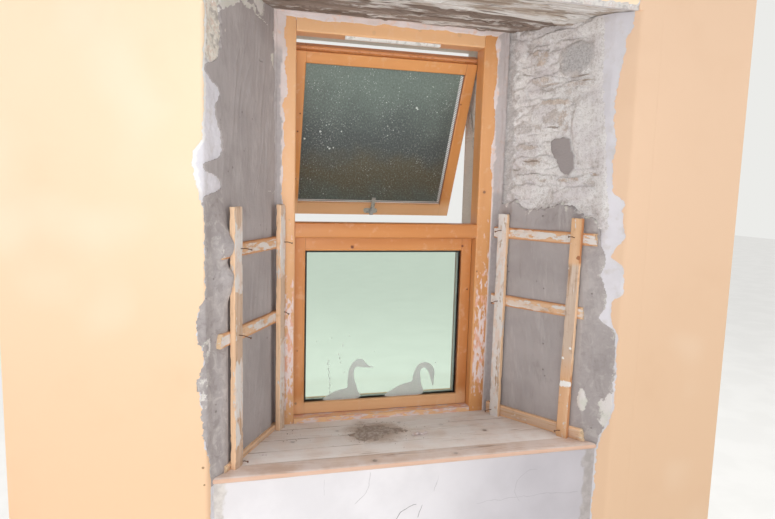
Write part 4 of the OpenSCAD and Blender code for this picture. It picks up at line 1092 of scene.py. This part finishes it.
# %% The filler as a closed piece
front, grey = filler_front()
back = front.copy()
back[..., 1] = FACE_Y + 0.009
flat = np.arange(grey.size).reshape(grey.shape)
corners = (flat[:-1, :-1], flat[:-1, 1:], flat[1:, 1:], flat[1:, :-1])
rim = np.concatenate([flat[0, :-1], flat[:-1, -1], flat[-1, :0:-1], flat[:0:-1, 0]])
after = np.roll(rim, -1)
faces = (quads(*corners[::-1]) + quads(*(corner + grey.size for corner in corners))
         + quads(after, after + grey.size, rim + grey.size, rim))
filler = piece("frame_filler_relief", [(np.concatenate([front, back]).reshape(-1, 3), faces,
                                        {"grey": np.concatenate([grey, grey]).reshape(-1)})],
               ["frame_filler"])
t, colour, speck, fine = plaster_tree("mortar_filler", (228, 216, 215), (214, 198, 193))
colour = colour.mix(t.group("patches", t.here, 34.0, 0.28, 0.08), (226, 196, 180))
colour = colour.mix(t.layer("grey"), t.mix(t.noise(t.here, 60.0), (186, 178, 178), (160, 152, 151)))
t.finish(colour.mix(speck * 0.5, (170, 154, 146)), 0.92, fine, 0.0012)
wear("mortar_filler", filler)

# %% [markdown]
# ## The lintels
# Two squared timbers carry the wall over the recess. Seen from below they are split and furred
# with old lime. Each is a rounded rectangle carried along the wall. Its relief is noise stretched
# along the timber, because wood weathers along its grain.

# %% A worn bar
def section(width, height, radius, step):
    """A rounded rectangle, anticlockwise from the middle of its foot: points and normals."""
    half_w, half_h = width / 2 - radius, height / 2 - radius
    centres = np.array([(half_w, -half_h), (half_w, half_h), (-half_w, half_h), (-half_w, -half_h)])
    points, normals = [], []
    for k, centre in enumerate(centres):
        turn = np.radians(90 * k - 90 + np.linspace(0, 90, 5))
        way = np.stack([np.cos(turn), np.sin(turn)], -1)
        arc = centre + radius * way
        side = centres[(k + 1) % 4] + radius * way[-1] - arc[-1]
        count = max(2, int(np.hypot(*side) / step))
        points += [arc, arc[-1] + side * np.linspace(0, 1, count + 1)[1:-1, None]]
        normals += [way, np.repeat(way[-1:], count - 1, 0)]
    return np.concatenate(points), np.concatenate(normals)


def bar(width, height, length, radius, step, row_step, relief, ends=None):
    """A section carried along, closed by one flat face at each end: (across, up, along)."""
    outline, normal = section(width, height, radius, step)
    rows = int(length / row_step) + 1
    count = len(outline)
    along = np.linspace(0, length, rows)[:, None] * np.ones(count)
    girth = np.concatenate([[0], np.cumsum(np.hypot(*np.diff(outline, axis=0).T))])
    push = relief(along, girth[None, :], outline[None, :, 0], outline[None, :, 1])
    across = outline[:, 0] + push * normal[:, 0]
    up = outline[:, 1] + push * normal[:, 1]
    if ends is not None:
        share = along / length
        along = along + ends(0, across, up) * ease(1 - share, 0.9, 1) \
            + ends(1, across, up) * ease(share, 0.9, 1)
    flat = np.arange(rows * count).reshape(rows, count)
    right = np.roll(flat, -1, 1)
    faces = quads(flat[:-1], right[:-1], right[1:], flat[1:])
    return (np.stack([across, up, along], -1).reshape(-1, 3),
            faces + [flat[0, ::-1].tolist(), flat[-1].tolist()])


# %% The two lintels
LINTEL_X, LINTEL_LENGTH, LINTEL_H = -797.8, 1647, 150


def lintel(name, y0, y1, rise, seed, cracks, sag):
    """A lintel from pier to pier, its soffit split along the grain and hung with old plaster."""
    def relief(along, girth, across, up):
        low = ease(-up, 40, 70)
        grain = (1.5 * rough(along / 260, girth / 7, 4, seed)
                 + rough(along / 60, girth / 20, 3, seed + 1))
        split = sum(d * ridge(across - c - wander(along, 7, 160, seed + 2 + k), w)
                    for k, (c, w, d) in enumerate(cracks))
        lumps = 5 * ease(rough(along / 70, across / 34, 3, seed + 20), 0.35, 0.8)
        return (grain - 2.2 - split) * (0.25 + 0.75 * low) + low * (sag(along, across) + lumps)
    points, faces = bar(y1 - y0, LINTEL_H, LINTEL_LENGTH, rise, 3.5, 7, relief)
    y, z, x = points.T + [[(y0 + y1) / 2], [SOFFIT_Z + LINTEL_H / 2], [LINTEL_X]]
    return piece(name + "_timber", [(metres(x, y, z), faces, {})], [name])


room_timber = lintel("room_lintel", -385, -204, 9, 150, [(30, 5, 9), (-40, 2.5, 5), (62, 2, 4)],
                     lambda along, across: ease(across, 20, 90) * (
                         2 + 16 * ease(along, 900, 1450)))
inner_timber = lintel("inner_lintel", -200, -4, 13, 160,
                      [(50, 4, 7), (-20, 6, 6), (10, 2.5, 4), (-66, 3, 5)],
                      lambda along, across: 3 + 3 * ease(along, 700, 1300))


# %% Old timber as a finish
def old_timber(name, pale, dark, lime, lime_cover):
    """Dry old softwood along X, with limewash left on it in streaks."""
    t = start(name)
    x, y, z = t.axes(t.here)
    along = t.vector(y, z, x)
    late, tone, fibre = t.group("grain", along, 150.0, 2.4)
    mask = t.group("patches", t.place(along, scale=(3, 3, 0.6)), 9.0, lime_cover, 0.05, 7.0)
    fissure = t.noise(t.place(along, scale=(46, 46, 3.5)), 1.0, 3.0).fade(0.4, 0.33)
    colour = t.mix(tone.fade(0.3, 0.7), pale, dark).lay(late * 0.4, (150, 130, 112))
    colour = colour.mix(mask * fibre.fade(0.3, 0.5, 0.55, 1.0), lime)
    colour = colour.mix(fissure * 0.75, (92, 72, 58))
    t.finish(colour, 0.9, fibre * 0.8 + mask * 0.6 - fissure, 0.0012)


old_timber("pale_lintel", (203, 191, 180), (168, 151, 137), (221, 217, 214), 0.5)
old_timber("dark_lintel", (158, 142, 132), (126, 110, 100), (214, 208, 204), 0.38)
wear("pale_lintel", room_timber)
wear("dark_lintel", inner_timber, "frame_lintel")


# %% [markdown]
# ## The timber grounds
# Rough laths are nailed to both reveals: three cross pieces against the render and two uprights
# over them. Their arrises are worn and their ends torn. They are made as the lintels are, with
# the section carried along the lath, and a layer of values keeps each point's place in its own
# lath so that the grain follows it.

# %% Worn laths
def from_reveal(side, a, off):
    """x and y of a point a along a straight reveal and off out of it."""
    splay, start_x = (LEFT_SPLAY, LEFT_X) if side < 0 else (RIGHT_SPLAY, RIGHT_X)
    return (side * (start_x + a * math.sin(splay) - off * math.cos(splay)),
            -a * math.cos(splay) - off * math.sin(splay))


def lath(side, a_mid, off_mid, z_mid, width, thick, length, upright, seed, torn, skew, look, pale=0):
    """One lath on a reveal. Worn: noise along it, deepest at the arrises. Torn: noise at ends."""
    def relief(along, girth, across, up):
        arris = ease(np.abs(across) / (width / 2) + np.abs(up) / (thick / 2), 1.4, 2.0)
        chips = ease(rough(along / 34, girth / 18, 4, seed), 0.25, 0.7)
        return -arris * (0.3 + 2.4 * chips) + 0.35 * rough(along / 90, girth / 5, 3, seed + 1)

    def ends(which, across, up):
        return (torn[which] * (6 * rough(across / 11, up / 7 + 9 * which, 3, seed + 2)
                               + 3 * bumps(across, up, 3, 2, seed + 3))
                - which * skew * (0.5 + across / width))
    points, faces = bar(width, thick, length, 2.2, 2.6, 6, relief, ends)
    across, up, along = points.T
    lean = 9 * (along / length) - 5 if upright and side > 0 and a_mid > 200 else 0
    x, y = from_reveal(side, a_mid + (across + lean if upright else along), off_mid + up)
    z = z_mid + (along if upright else across)
    if (side > 0) == upright:
        faces = [face[::-1] for face in faces]
    edge = ease(across, width / 2 - 2.6, width / 2 - 0.8) if upright else ease(
        np.abs(across), width / 2 - 9, width / 2 - 3)
    look = np.stack(np.broadcast_arrays(*(look(z) if callable(look) else look), along * 0)[:3], -1)
    return metres(x, y, z), faces, {"lath": (points + (seed * 61, 0, 0)) / 1000, "edge": edge,
                                    "look": look, "fresh": pale * ease(along, length - 15, length - 9)}


def front_look(z):
    """The right front upright: fresh at its top, weathered in the middle, fresh again below."""
    return (0.75 * ease(1390 + 30 * noise(z / 20, 0.5, 7) - z, 0, 30) * ease(z, 940, 1090),
            0.14 + 0.1 * noise(z / 30, 0.5, 9), 0.5 + 0.4 * noise(z / 60, 0.5, 8))


def spotted_look(z):
    """The left uprights: weathered, with old white paint that comes and goes up their length."""
    return 0.6, 0.46 + 0.6 * noise(z / 70, 0.5, 31), 0.4


# %% The laths on both reveals
UPRIGHT_T, CROSS_T = 18, 20
laths = []
for side, word, height, places, crosses, reach in (
        (-1, "left", 804, ((2, 40, spotted_look), (310, 48, spotted_look)),
         ((0, 20), (391, 42), (652, 42)), (384, 408, 392)),
        (1, "right", 784, ((30, 40, (0.8, 0.66, 0.0)), (318, 40, front_look)),
         ((0, 42), (434, 42), (692, 42)), (405, 380, 408))):
    for k, (where, width, look) in enumerate(places):
        body = lath(side, where + width / 2, CROSS_T + UPRIGHT_T / 2, BOARD_Z, width, UPRIGHT_T,
                    height, True, 200 + 10 * k + side, (0.0, 0.3), 0, look)
        name = f"{word}_{('rear', 'front')[k]}_upright"
        laths.append(piece(name + "_worn", [body], [name]))
    inner = 20 if side < 0 else 4
    shells = [lath(side, inner, CROSS_T / 2, BOARD_Z + up + tall / 2, tall, CROSS_T,
                   reach[k] - inner, False, 230 + 10 * k + side, (0.0, 0.7), 6,
                   (0.1 if k else 0.45, 0.6 if k else 0.1, 0.4), (0.9, 0.8, 0.6)[k])
              for k, (up, tall) in enumerate(crosses)]
    laths.append(piece(word + "_cross_battens_worn", shells,
                       [word + "_cross_battens"]))

# %% [markdown]
# Each lath has its own look, kept in a layer of three numbers: how weathered its wide faces are,
# how much limewash is on it, and how pink its bare wood is. The narrow face of an upright that
# looks into the room is fresh, creamy wood. The cross pieces show brown along their arrises.

# %% Old lath wood
t = start("raw_batten")
place, edge = t.layer("lath", "Vector"), t.layer("edge")
weather, washed, pinkish = t.axes(t.layer("look", "Vector"))
late, tone, fibre = t.group("grain", place, 260.0, 1.8)
wood = t.mix(tone.fade(0.3, 0.7), (240, 206, 166), (222, 176, 130))
wood = wood.mix(pinkish, t.mix(tone.fade(0.3, 0.7), (240, 202, 170), (224, 176, 136)))
wood = wood.lay(late * 0.4, (206, 156, 112))
grooves = t.noise(t.place(place, scale=(130, 130, 4)), 1.0, 3.0, 0.6).fade(0.5, 0.36)
silver = t.mix(tone.fade(0.3, 0.7), (214, 202, 192), (200, 184, 170)).mix(grooves, (168, 132, 104))
wood = wood.mix(weather * edge.fall(0.3, 0.6), silver)
wood = wood.lay(edge * weather.fall(0.05, 0.2) * 0.7, (212, 164, 116))
wood = wood.mix(edge * weather.fade(0.3, 0.6) * 0.6, (247, 212, 178))
wood = wood.mix(t.layer("fresh"), t.mix(fibre.fade(0.35, 0.6), (244, 222, 190), (222, 188, 150)))
streaks = t.place(place, scale=(2.2, 2.2, 0.8))
cover = washed - edge * 0.4
paint = t.group("patches", streaks, 22.0, cover, 0.02, 8.0) * cover.fade(0.02, 0.1)
pink = t.group("patches", streaks, 15.0, 0.4, 0.06)
dirt = t.group("patches", place, 30.0, 0.2, 0.1)
colour = wood.mix(paint, t.mix(pink, (226, 219, 214), (226, 206, 192)))
colour = colour.lay(dirt * 0.4, (190, 160, 132))
for x, y, z, radius, tint in ((588.7, -318.4, 1399, 7.5, (172, 112, 76)),
                              (570, -290, 946, 11, (246, 243, 240)),
                              (577, -301, 948, 12, (244, 241, 238)),
                              (585, -312, 949, 11, (246, 243, 240)),
                              (584, -311, 1079, 5, (248, 246, 244)),
                              (570, -290, 1039, 5, (248, 246, 244))):
    colour = colour.mix(t.knot(t.here, (x, y + 1000 * FACE_Y, z), radius)[0], tint)
t.finish(colour, 0.8, paint * 1.2 + fibre - grooves * weather, 0.0007)
wear("raw_batten", *laths)

# %% [markdown]
# Nails were left standing where the laths cross, mostly bent over and rusted dark. Each is a thin
# rod from a point in the upright to a flat head in the air, made of five rings of points.

# %% Nails
# Side of the window; place along the reveal and height of the foot; the tip's place along the
# reveal, how far it stands out, and its height.
NAILS = [(-1, 13, 1424, 13, 30, 1421), (-1, 323, 1429, 317, 34, 1427), (-1, 336, 1169, 338, 42, 1163),
         (-1, 10, 1177, 14, 20, 1170), (-1, 313, 758, 318, 20, 762), (1, 49, 1473, 36, 26, 1468),
         (1, 339, 1466, 331, 32, 1471), (1, 47, 1203, 36, 28, 1198), (1, 329, 772, 320, 26, 776),
         (1, 43, 772, 28, 24, 768)]


def nail(side, s, z, s_tip, length, z_tip):
    """A rod of eight sides along the line from (s, z) to the tip, with a flat head."""
    foot = np.array([*from_reveal(side, s, 32), z])
    tip = np.array([*from_reveal(side, s_tip, 38 + length), z_tip])
    total = np.linalg.norm(tip - foot)
    way = (tip - foot) / total
    u = np.cross(way, (0, 0, 1))
    u /= np.linalg.norm(u)
    v = np.cross(way, u)
    turn = np.linspace(0, 2 * math.pi, 8, endpoint=False)[:, None]
    ring = np.cos(turn) * u + np.sin(turn) * v
    rings = [foot + way * d + ring * r + (0, 0, 2.5 * math.sin(3 * d / total))
             for d, r in ((0, 1.4), (total * 0.5, 1.5), (total - 1.6, 1.5), (total - 1.5, 3.3),
                          (total, 3.3))]
    points = np.concatenate(rings + [[foot, rings[-1].mean(0)]])
    flat = np.arange(40).reshape(5, 8)
    after = np.roll(flat, -1, 1)
    faces = quads(flat[:-1], flat[1:], after[1:], after[:-1])
    faces += [[40, a, b] for a, b in zip(flat[0], after[0])]
    faces += [[41, b, a] for a, b in zip(flat[4], after[4])]
    return metres(*points.T), faces, {}


nails = piece("reveal_nails", [nail(*entry) for entry in NAILS])
worn("nail_iron", (96, 78, 68), (140, 96, 66), 0.7, 0.3, 300.0, 0.5)
wear("nail_iron", nails)


# %% [markdown]
# ## The window board
# The boards stay as the CAD model has them, grooves and all. Their finish is dusty softwood, each
# board with a tone of its own, and the nosing is pinker and cleaner. A heap of sweepings and some
# lumps of plaster lie on the board.

# %% Board finishes
def board(name, pale, dark, dust_colour, dust_cover, first=-0.221, width=0.084, front=None):
    """Dusty softwood boards along X. Each has its own tone, from its number counted along y."""
    t = start(name)
    x, y, z = t.axes(t.here)
    count = (y - first) / width
    number = t.math("FLOOR", count)
    tint = t.add("TexWhiteNoise", {"W": number}, noise_dimensions="1D")
    along = t.vector(y, z + number * 0.37, x)
    late, tone, fibre = t.group("grain", along, 130.0, 2.4)
    colour = t.mix(tone.fade(0.3, 0.7), pale, dark).lay(late * 0.45, (204, 182, 166))
    colour = colour.lay(tint * 0.3, (222, 214, 206))
    seam = abs(t.math("FRACT", count) - 0.5).fade(0.472, 0.494)
    worn_in = x.fade(-0.3, 0.2, 0.85, 0.25) * t.noise(t.here, 9.0, 4.0).fade(0.4, 0.6, 0.35, 1.0)
    split = t.noise(t.place(along, scale=(60, 60, 3)), 1.0, 3.0).fade(0.36, 0.31)
    colour = colour.lay(split * 0.6, (170, 150, 134))
    for knot_x, knot_y, radius in ((-363, -158, 7), (-200, -95, 6), (190, -110, 9),
                                   (330, -190, 8), (40, -60, 7), (-120, -352, 9), (157, -350, 7)):
        mask, halo = t.knot(t.here, (knot_x, knot_y, BOARD_Z), radius)
        colour = colour.mix(halo * 0.3, (150, 125, 104)).mix(mask * 0.8, (104, 82, 66))
    dust = t.group("patches", t.here, 8.0, dust_cover, 0.12, 8.0)
    colour = colour.mix(dust * 0.7, dust_colour)
    colour = colour.lay(seam * worn_in, (168, 148, 134))
    if front:
        edge = y.fade(ROOM_FACE / 1000 + 0.0262, ROOM_FACE / 1000 + 0.0255)
        colour = colour.mix(edge * 0.75, front)
    moved = t.place(t.here, move=(0.075, 0.135, -0.75), scale=(1, 1.05, 1))
    gap = t.add("VectorMath", {0: moved}, "Value", operation="LENGTH")
    stain = gap + (t.noise(t.here, 22.0, 4.0) - 0.5) * 0.11
    colour = colour.lay(stain.fade(0.135, 0.05, 0.0, 0.75), (186, 164, 146))
    t.finish(colour, dust.fade(0, 1, 0.62, 0.92), fibre + late * -0.5, 0.0005)


board("floor_board", (246, 236, 230), (229, 216, 208), (240, 235, 232), 0.55)
board("nosing_board", (216, 194, 179), (199, 173, 157), (220, 207, 201), 0.5, front=(224, 182, 156))
wear("floor_board", "window_board")
wear("nosing_board", "board_nosing")

# %% The heap of sweepings
x, y = np.meshgrid(np.linspace(-200, 90, 145), np.linspace(-235, -40, 98))
heap = np.maximum(lens(x, y, -85, -130, 74, 60, 20, 2.0), 0.7 * lens(x, y, -14, -122, 70, 30, -8, 2.0))
heap += 0.3 * bumps(x, y, 20, 4, 300)
rise = 8 * ease(heap, 0, 1.0) + 0.25 * ease(heap, 0, 0.2) * bumps(x, y, 6, 3, 303)
rise = np.where(heap > 0.02, rise, -1.5)
top = metres(x, y, BOARD_Z + rise)
heap_shell = slab(top, *(metres(x[0], y[k, 0], BOARD_Z - 3) for k in (0, -1)))

# %% Crumbs
# The twelve corners of a twenty-sided solid of radius 1. Three corners that touch make a face.
GOLDEN = (1 + 5 ** 0.5) / 2
ICO = np.array([np.roll((s, t * GOLDEN, 0), k) for k in range(3) for s in (-1, 1)
                for t in (-1, 1)]) / 1.902
gaps = np.linalg.norm(ICO[:, None] - ICO[None], axis=-1)
near = (gaps > 0.1) & (gaps < 1.2)
ICO_FACES = []
for i, j, k in combinations(range(12), 3):
    if near[i, j] and near[j, k] and near[i, k]:
        outward = np.dot(np.cross(ICO[j] - ICO[i], ICO[k] - ICO[i]), ICO[i]) > 0
        ICO_FACES.append([i, j, k] if outward else [i, k, j])


def crumbs(count, x0, x1, y0, y1, smallest, largest, seed):
    """Twenty-sided crumbs, each squashed and dented its own way, lying on the board."""
    k = np.arange(count)
    cx = x0 + (x1 - x0) * (corner_value(k, 1, seed) + 1) / 2
    cy = y0 + (y1 - y0) * (corner_value(k, 2, seed) + 1) / 2
    size = smallest + (largest - smallest) * ((corner_value(k, 3, seed) + 1) / 2) ** 3
    i = np.arange(12)
    dent = 1 + 0.28 * corner_value(k[:, None] * 13 + i, 4, seed)
    points = ICO[None] * dent[..., None] * size[:, None, None] * (1, 0.85, 0.6)
    points = points + np.stack([cx, cy, BOARD_Z + 0.45 * size], -1)[:, None]
    faces = [[n * 12 + v for v in face] for n in range(count) for face in ICO_FACES]
    return metres(*points.reshape(-1, 3).T), faces, {}


# %% Sweepings and lumps
sweepings = piece("board_sweepings", [heap_shell, crumbs(300, -170, 70, -215, -45, 0.5, 2.4, 310),
                                      crumbs(70, -330, 330, -290, -6, 0.6, 2.2, 320),
                                      crumbs(40, -400, -330, -160, -20, 0.8, 3, 330)])
lumps = piece("plaster_lumps", [crumbs(16, 52, 112, -186, -166, 5, 13, 340),
                                crumbs(5, -480, -455, -250, -236, 2, 6, 350)])
wear("mortar_filler", lumps)
t = start("sweepings")
speck, fine = t.group("grit", t.here, 260.0)
colour = t.mix(t.noise(t.here, 90.0, 5.0).fade(0.4, 0.62), (156, 140, 129), (184, 169, 158))
t.finish(colour.mix(speck, (116, 98, 82)), 0.95, fine, 0.0008)
wear("sweepings", sweepings)
print("crumb faces:", len(ICO_FACES))

# %% [markdown]
# ## Outside and the cut ends
# The other side of the wall is roughcast, with a stone sill and a stone lintel. The ends of the
# bay are cut faces of rubble. These stay CAD solids; their stones are worked out in the material
# from a cell pattern, flattened because rubble is laid on its bed.

# %% Outer finishes
t, colour, speck, fine = plaster_tree("roughcast", (218, 213, 204), (208, 202, 193), 180.0)
pebble = t.cells(t.here, 120.0)
colour = colour.mix(pebble.fade(0.1, 0.5, 0.5, 0.0), (214, 208, 200))
t.finish(colour.mix(speck, (130, 124, 116)), 0.95, fine - pebble, 0.004)

t, colour, speck, fine = plaster_tree("dressed_stone", (170, 165, 158), (148, 143, 137))
lichen = t.group("patches", t.here, 26.0, 0.3, 0.05)
colour = colour.mix(lichen * 0.4, (186, 184, 164))
t.finish(colour.mix(speck, (112, 108, 102)), 0.9, fine, 0.0015)

# %% Rubble at the cut ends
t = start("rubble_masonry")
shake = t.add("TexNoise", {"Vector": t.here, "Scale": 9.0, "Detail": 4.0}, "Color")
shaken = t.between("ADD", t.here, t.between("MULTIPLY", shake, (0.07, 0.07, 0.05)))
bent = t.place(shaken, scale=(5.5, 5.5, 12))
rim = t.cells(bent, 1.0, 0.9, feature="DISTANCE_TO_EDGE")
speck, fine = t.group("grit", t.here, 240.0)
key = t.add("SeparateColor", {0: t.cells(bent, 1.0, 0.9, "Color")})
colour = t.mix(key, (176, 166, 156), (198, 188, 178))
colour = colour.mix(key.fade(0.72, 0.78, 0.0, 0.7), (186, 160, 136))
joint = (rim + (fine - 0.5) * 0.16).fade(0.0, 0.14)
colour = t.mix(joint, (192, 184, 174), colour)
t.finish(colour.mix(speck * 0.6, (134, 124, 114)), 0.95, joint * 2.0 + fine, 0.004)

# %% Apron plaster with its cracks
# Each crack is an arc: centre x and z, radius, the x and z between which it shows, and its depth.
CRACKS = [(-251, 712, 113, -260, -100, 615, 722, 0.35), (23, 515, 78, -60, 22, 540, 600, 0.8),
          (-330, 736, 400, 20, 46, 545, 592, 0.7), (440, 605, 67, 360, 455, 560, 690, 0.22),
          (430, -2420, 3000, 230, 620, 500, 640, 0.22), (-207, 722, 300, 75, 95, 630, 690, 0.3),
          (-583, 683, 300, -290, -275, 655, 712, 0.22)]
t, colour, speck, fine = plaster_tree("apron_plaster", (234, 231, 234), (225, 222, 225), 300.0)
x, _, z = t.axes(t.here)
outer = abs(x + -0.022) - (t.noise(t.here, 26.0, 5.0) - 0.5) * 0.05
rubbed = outer.fade(0.604, 0.616)
greyed = t.mix(t.noise(t.here, 30.0, 4.0).fade(0.4, 0.6), (221, 216, 212), (203, 197, 193))
colour = colour.mix(rubbed, greyed)
# Painted shade: the apron darkens towards the right.
colour = colour.lay(x.fade(-0.1, 0.5), (218, 216, 219))
shake = t.add("TexNoise", {"Vector": t.here, "Scale": 24.0, "Detail": 3.0}, "Color")
bent = t.between("ADD", t.vector(x, 0.0, z), t.place(shake, scale=(0.02, 0.0, 0.02)))
line = None
for centre_x, centre_z, radius, x0, x1, z0, z1, depth in CRACKS:
    gap = t.between("DISTANCE", bent, (centre_x / 1000 + 0.01, 0, centre_z / 1000 + 0.01), "Value")
    mask = abs(gap - radius / 1000).fade(0.0004, 0.0016, depth, 0.0)
    for v, low, high in ((x, x0, x1), (z, z0, z1)):
        mask = mask * (v.fade(low / 1000, low / 1000 + 0.006)
                       * v.fall(high / 1000 - 0.006, high / 1000))
    line = t.math("MAXIMUM", line, mask) if line else mask
t.finish(colour.mix(line, (110, 106, 110)), 0.85, fine * rubbed.fade(0, 1, 0.6, 2.0) - line, 0.0007)
wear("roughcast", "outer_roughcast")
wear("dressed_stone", "outer_lintel", "outer_sill")
wear("rubble_masonry", "left_pier", "right_pier", "breast_wall", "head_wall")
wear("apron_plaster", "apron_plaster")

# %% [markdown]
# ## Floor, light and camera
# The part stands on a plain pale floor in soft light, level enough that a colour renders about as
# it is written. The camera stands where the picture was taken: its place, turn and lens were
# worked out from the window's known corners.

# %% Floor
bpy.ops.mesh.primitive_plane_add(size=40)
floor = bpy.context.object
floor.name = "floor"
t = start("floor_finish")
t.finish(t.mix(t.noise(t.here, 3.0).fade(0.4, 0.6), (212, 211, 208), (209, 208, 205)), 0.9)
wear("floor_finish", floor)

# %% Light
world = bpy.data.worlds.new("studio")
world.use_nodes = True
bpy.context.scene.world = world
world.node_tree.nodes.clear()
t = Tree(world.node_tree)
rays = [t.add("LightPath", {}, f"Is {kind} Ray") for kind in ("Camera", "Transmission")]
lit = t.add("Background", {"Color": (255, 255, 255), "Strength": 0.5})
shown = t.add("Background", {"Color": (236, 236, 233)})
mixed = t.add("MixShader", {0: t.math("MAXIMUM", *rays), 1: lit, 2: shown})
t.plug(t.tree.nodes.new("ShaderNodeOutputWorld"), {"Surface": mixed})


def stand(obj, *columns):
    """Gives an object its right, up and back directions and its place."""
    obj.matrix_world = Matrix([*np.stack(columns, 1).tolist(), [0, 0, 0, 1]])


def lamp(name, place, aim, size, watts, spread=180):
    """A square area light at a place, turned towards a point, its beam so many degrees wide."""
    data = bpy.data.lights.new(name, "AREA")
    data.size, data.energy = size, watts
    data.spread = math.radians(spread)
    back = np.array(place, float) - aim
    back /= np.linalg.norm(back)
    right = np.cross((0, 0, 1), back)
    right /= np.linalg.norm(right)
    stand(new_object(name, data), right, np.cross(back, right), back, place)
    print(f"lamp {name}: {watts} W")


lamp("key", (-2.2, -2.5, 2.3), (0, 0, 1.5), 2.0, 19)
lamp("fill", (2.5, -2.4, 2.1), (0, 0, 1.5), 2.0, 20)
lamp("recess", (-0.3, -2.9, 1.75), (0, 0, 1.8), 0.8, 1.0, 36)
lamp("low", (-0.8, -1.9, 0.35), (0.1, -0.1, 2.2), 1.1, 11)
lamp("garden", (0.6, 2.6, 4.6), (0, 0, 1.5), 2.0, 90)
sun = bpy.data.lights.new("sun", "SUN")
sun.energy, sun.angle = 2.1, 0.4
new_object("sun", sun)

# %% Camera
data = bpy.data.cameras.new("camera")
data.sensor_width, data.lens = 36.0, 27.91
camera = new_object("camera", data)
yaw, pitch, roll = 0.256, -0.1195, 0.0264
ahead = np.array([math.sin(yaw), math.cos(yaw), 0])
side = np.array([math.cos(yaw), -math.sin(yaw), 0])
up = np.array([0, 0, 1.0])
forward = ahead * math.cos(pitch) + up * math.sin(pitch)
over = up * math.cos(pitch) - ahead * math.sin(pitch)
stand(camera, side * math.cos(roll) + over * math.sin(roll),
      over * math.cos(roll) - side * math.sin(roll), -forward, (-0.5635, -2.1368, 1.6226))
bpy.context.scene.camera = camera
print("the camera looks along", forward.round(3))
bpy.context.scene.view_settings.view_transform = "Standard"
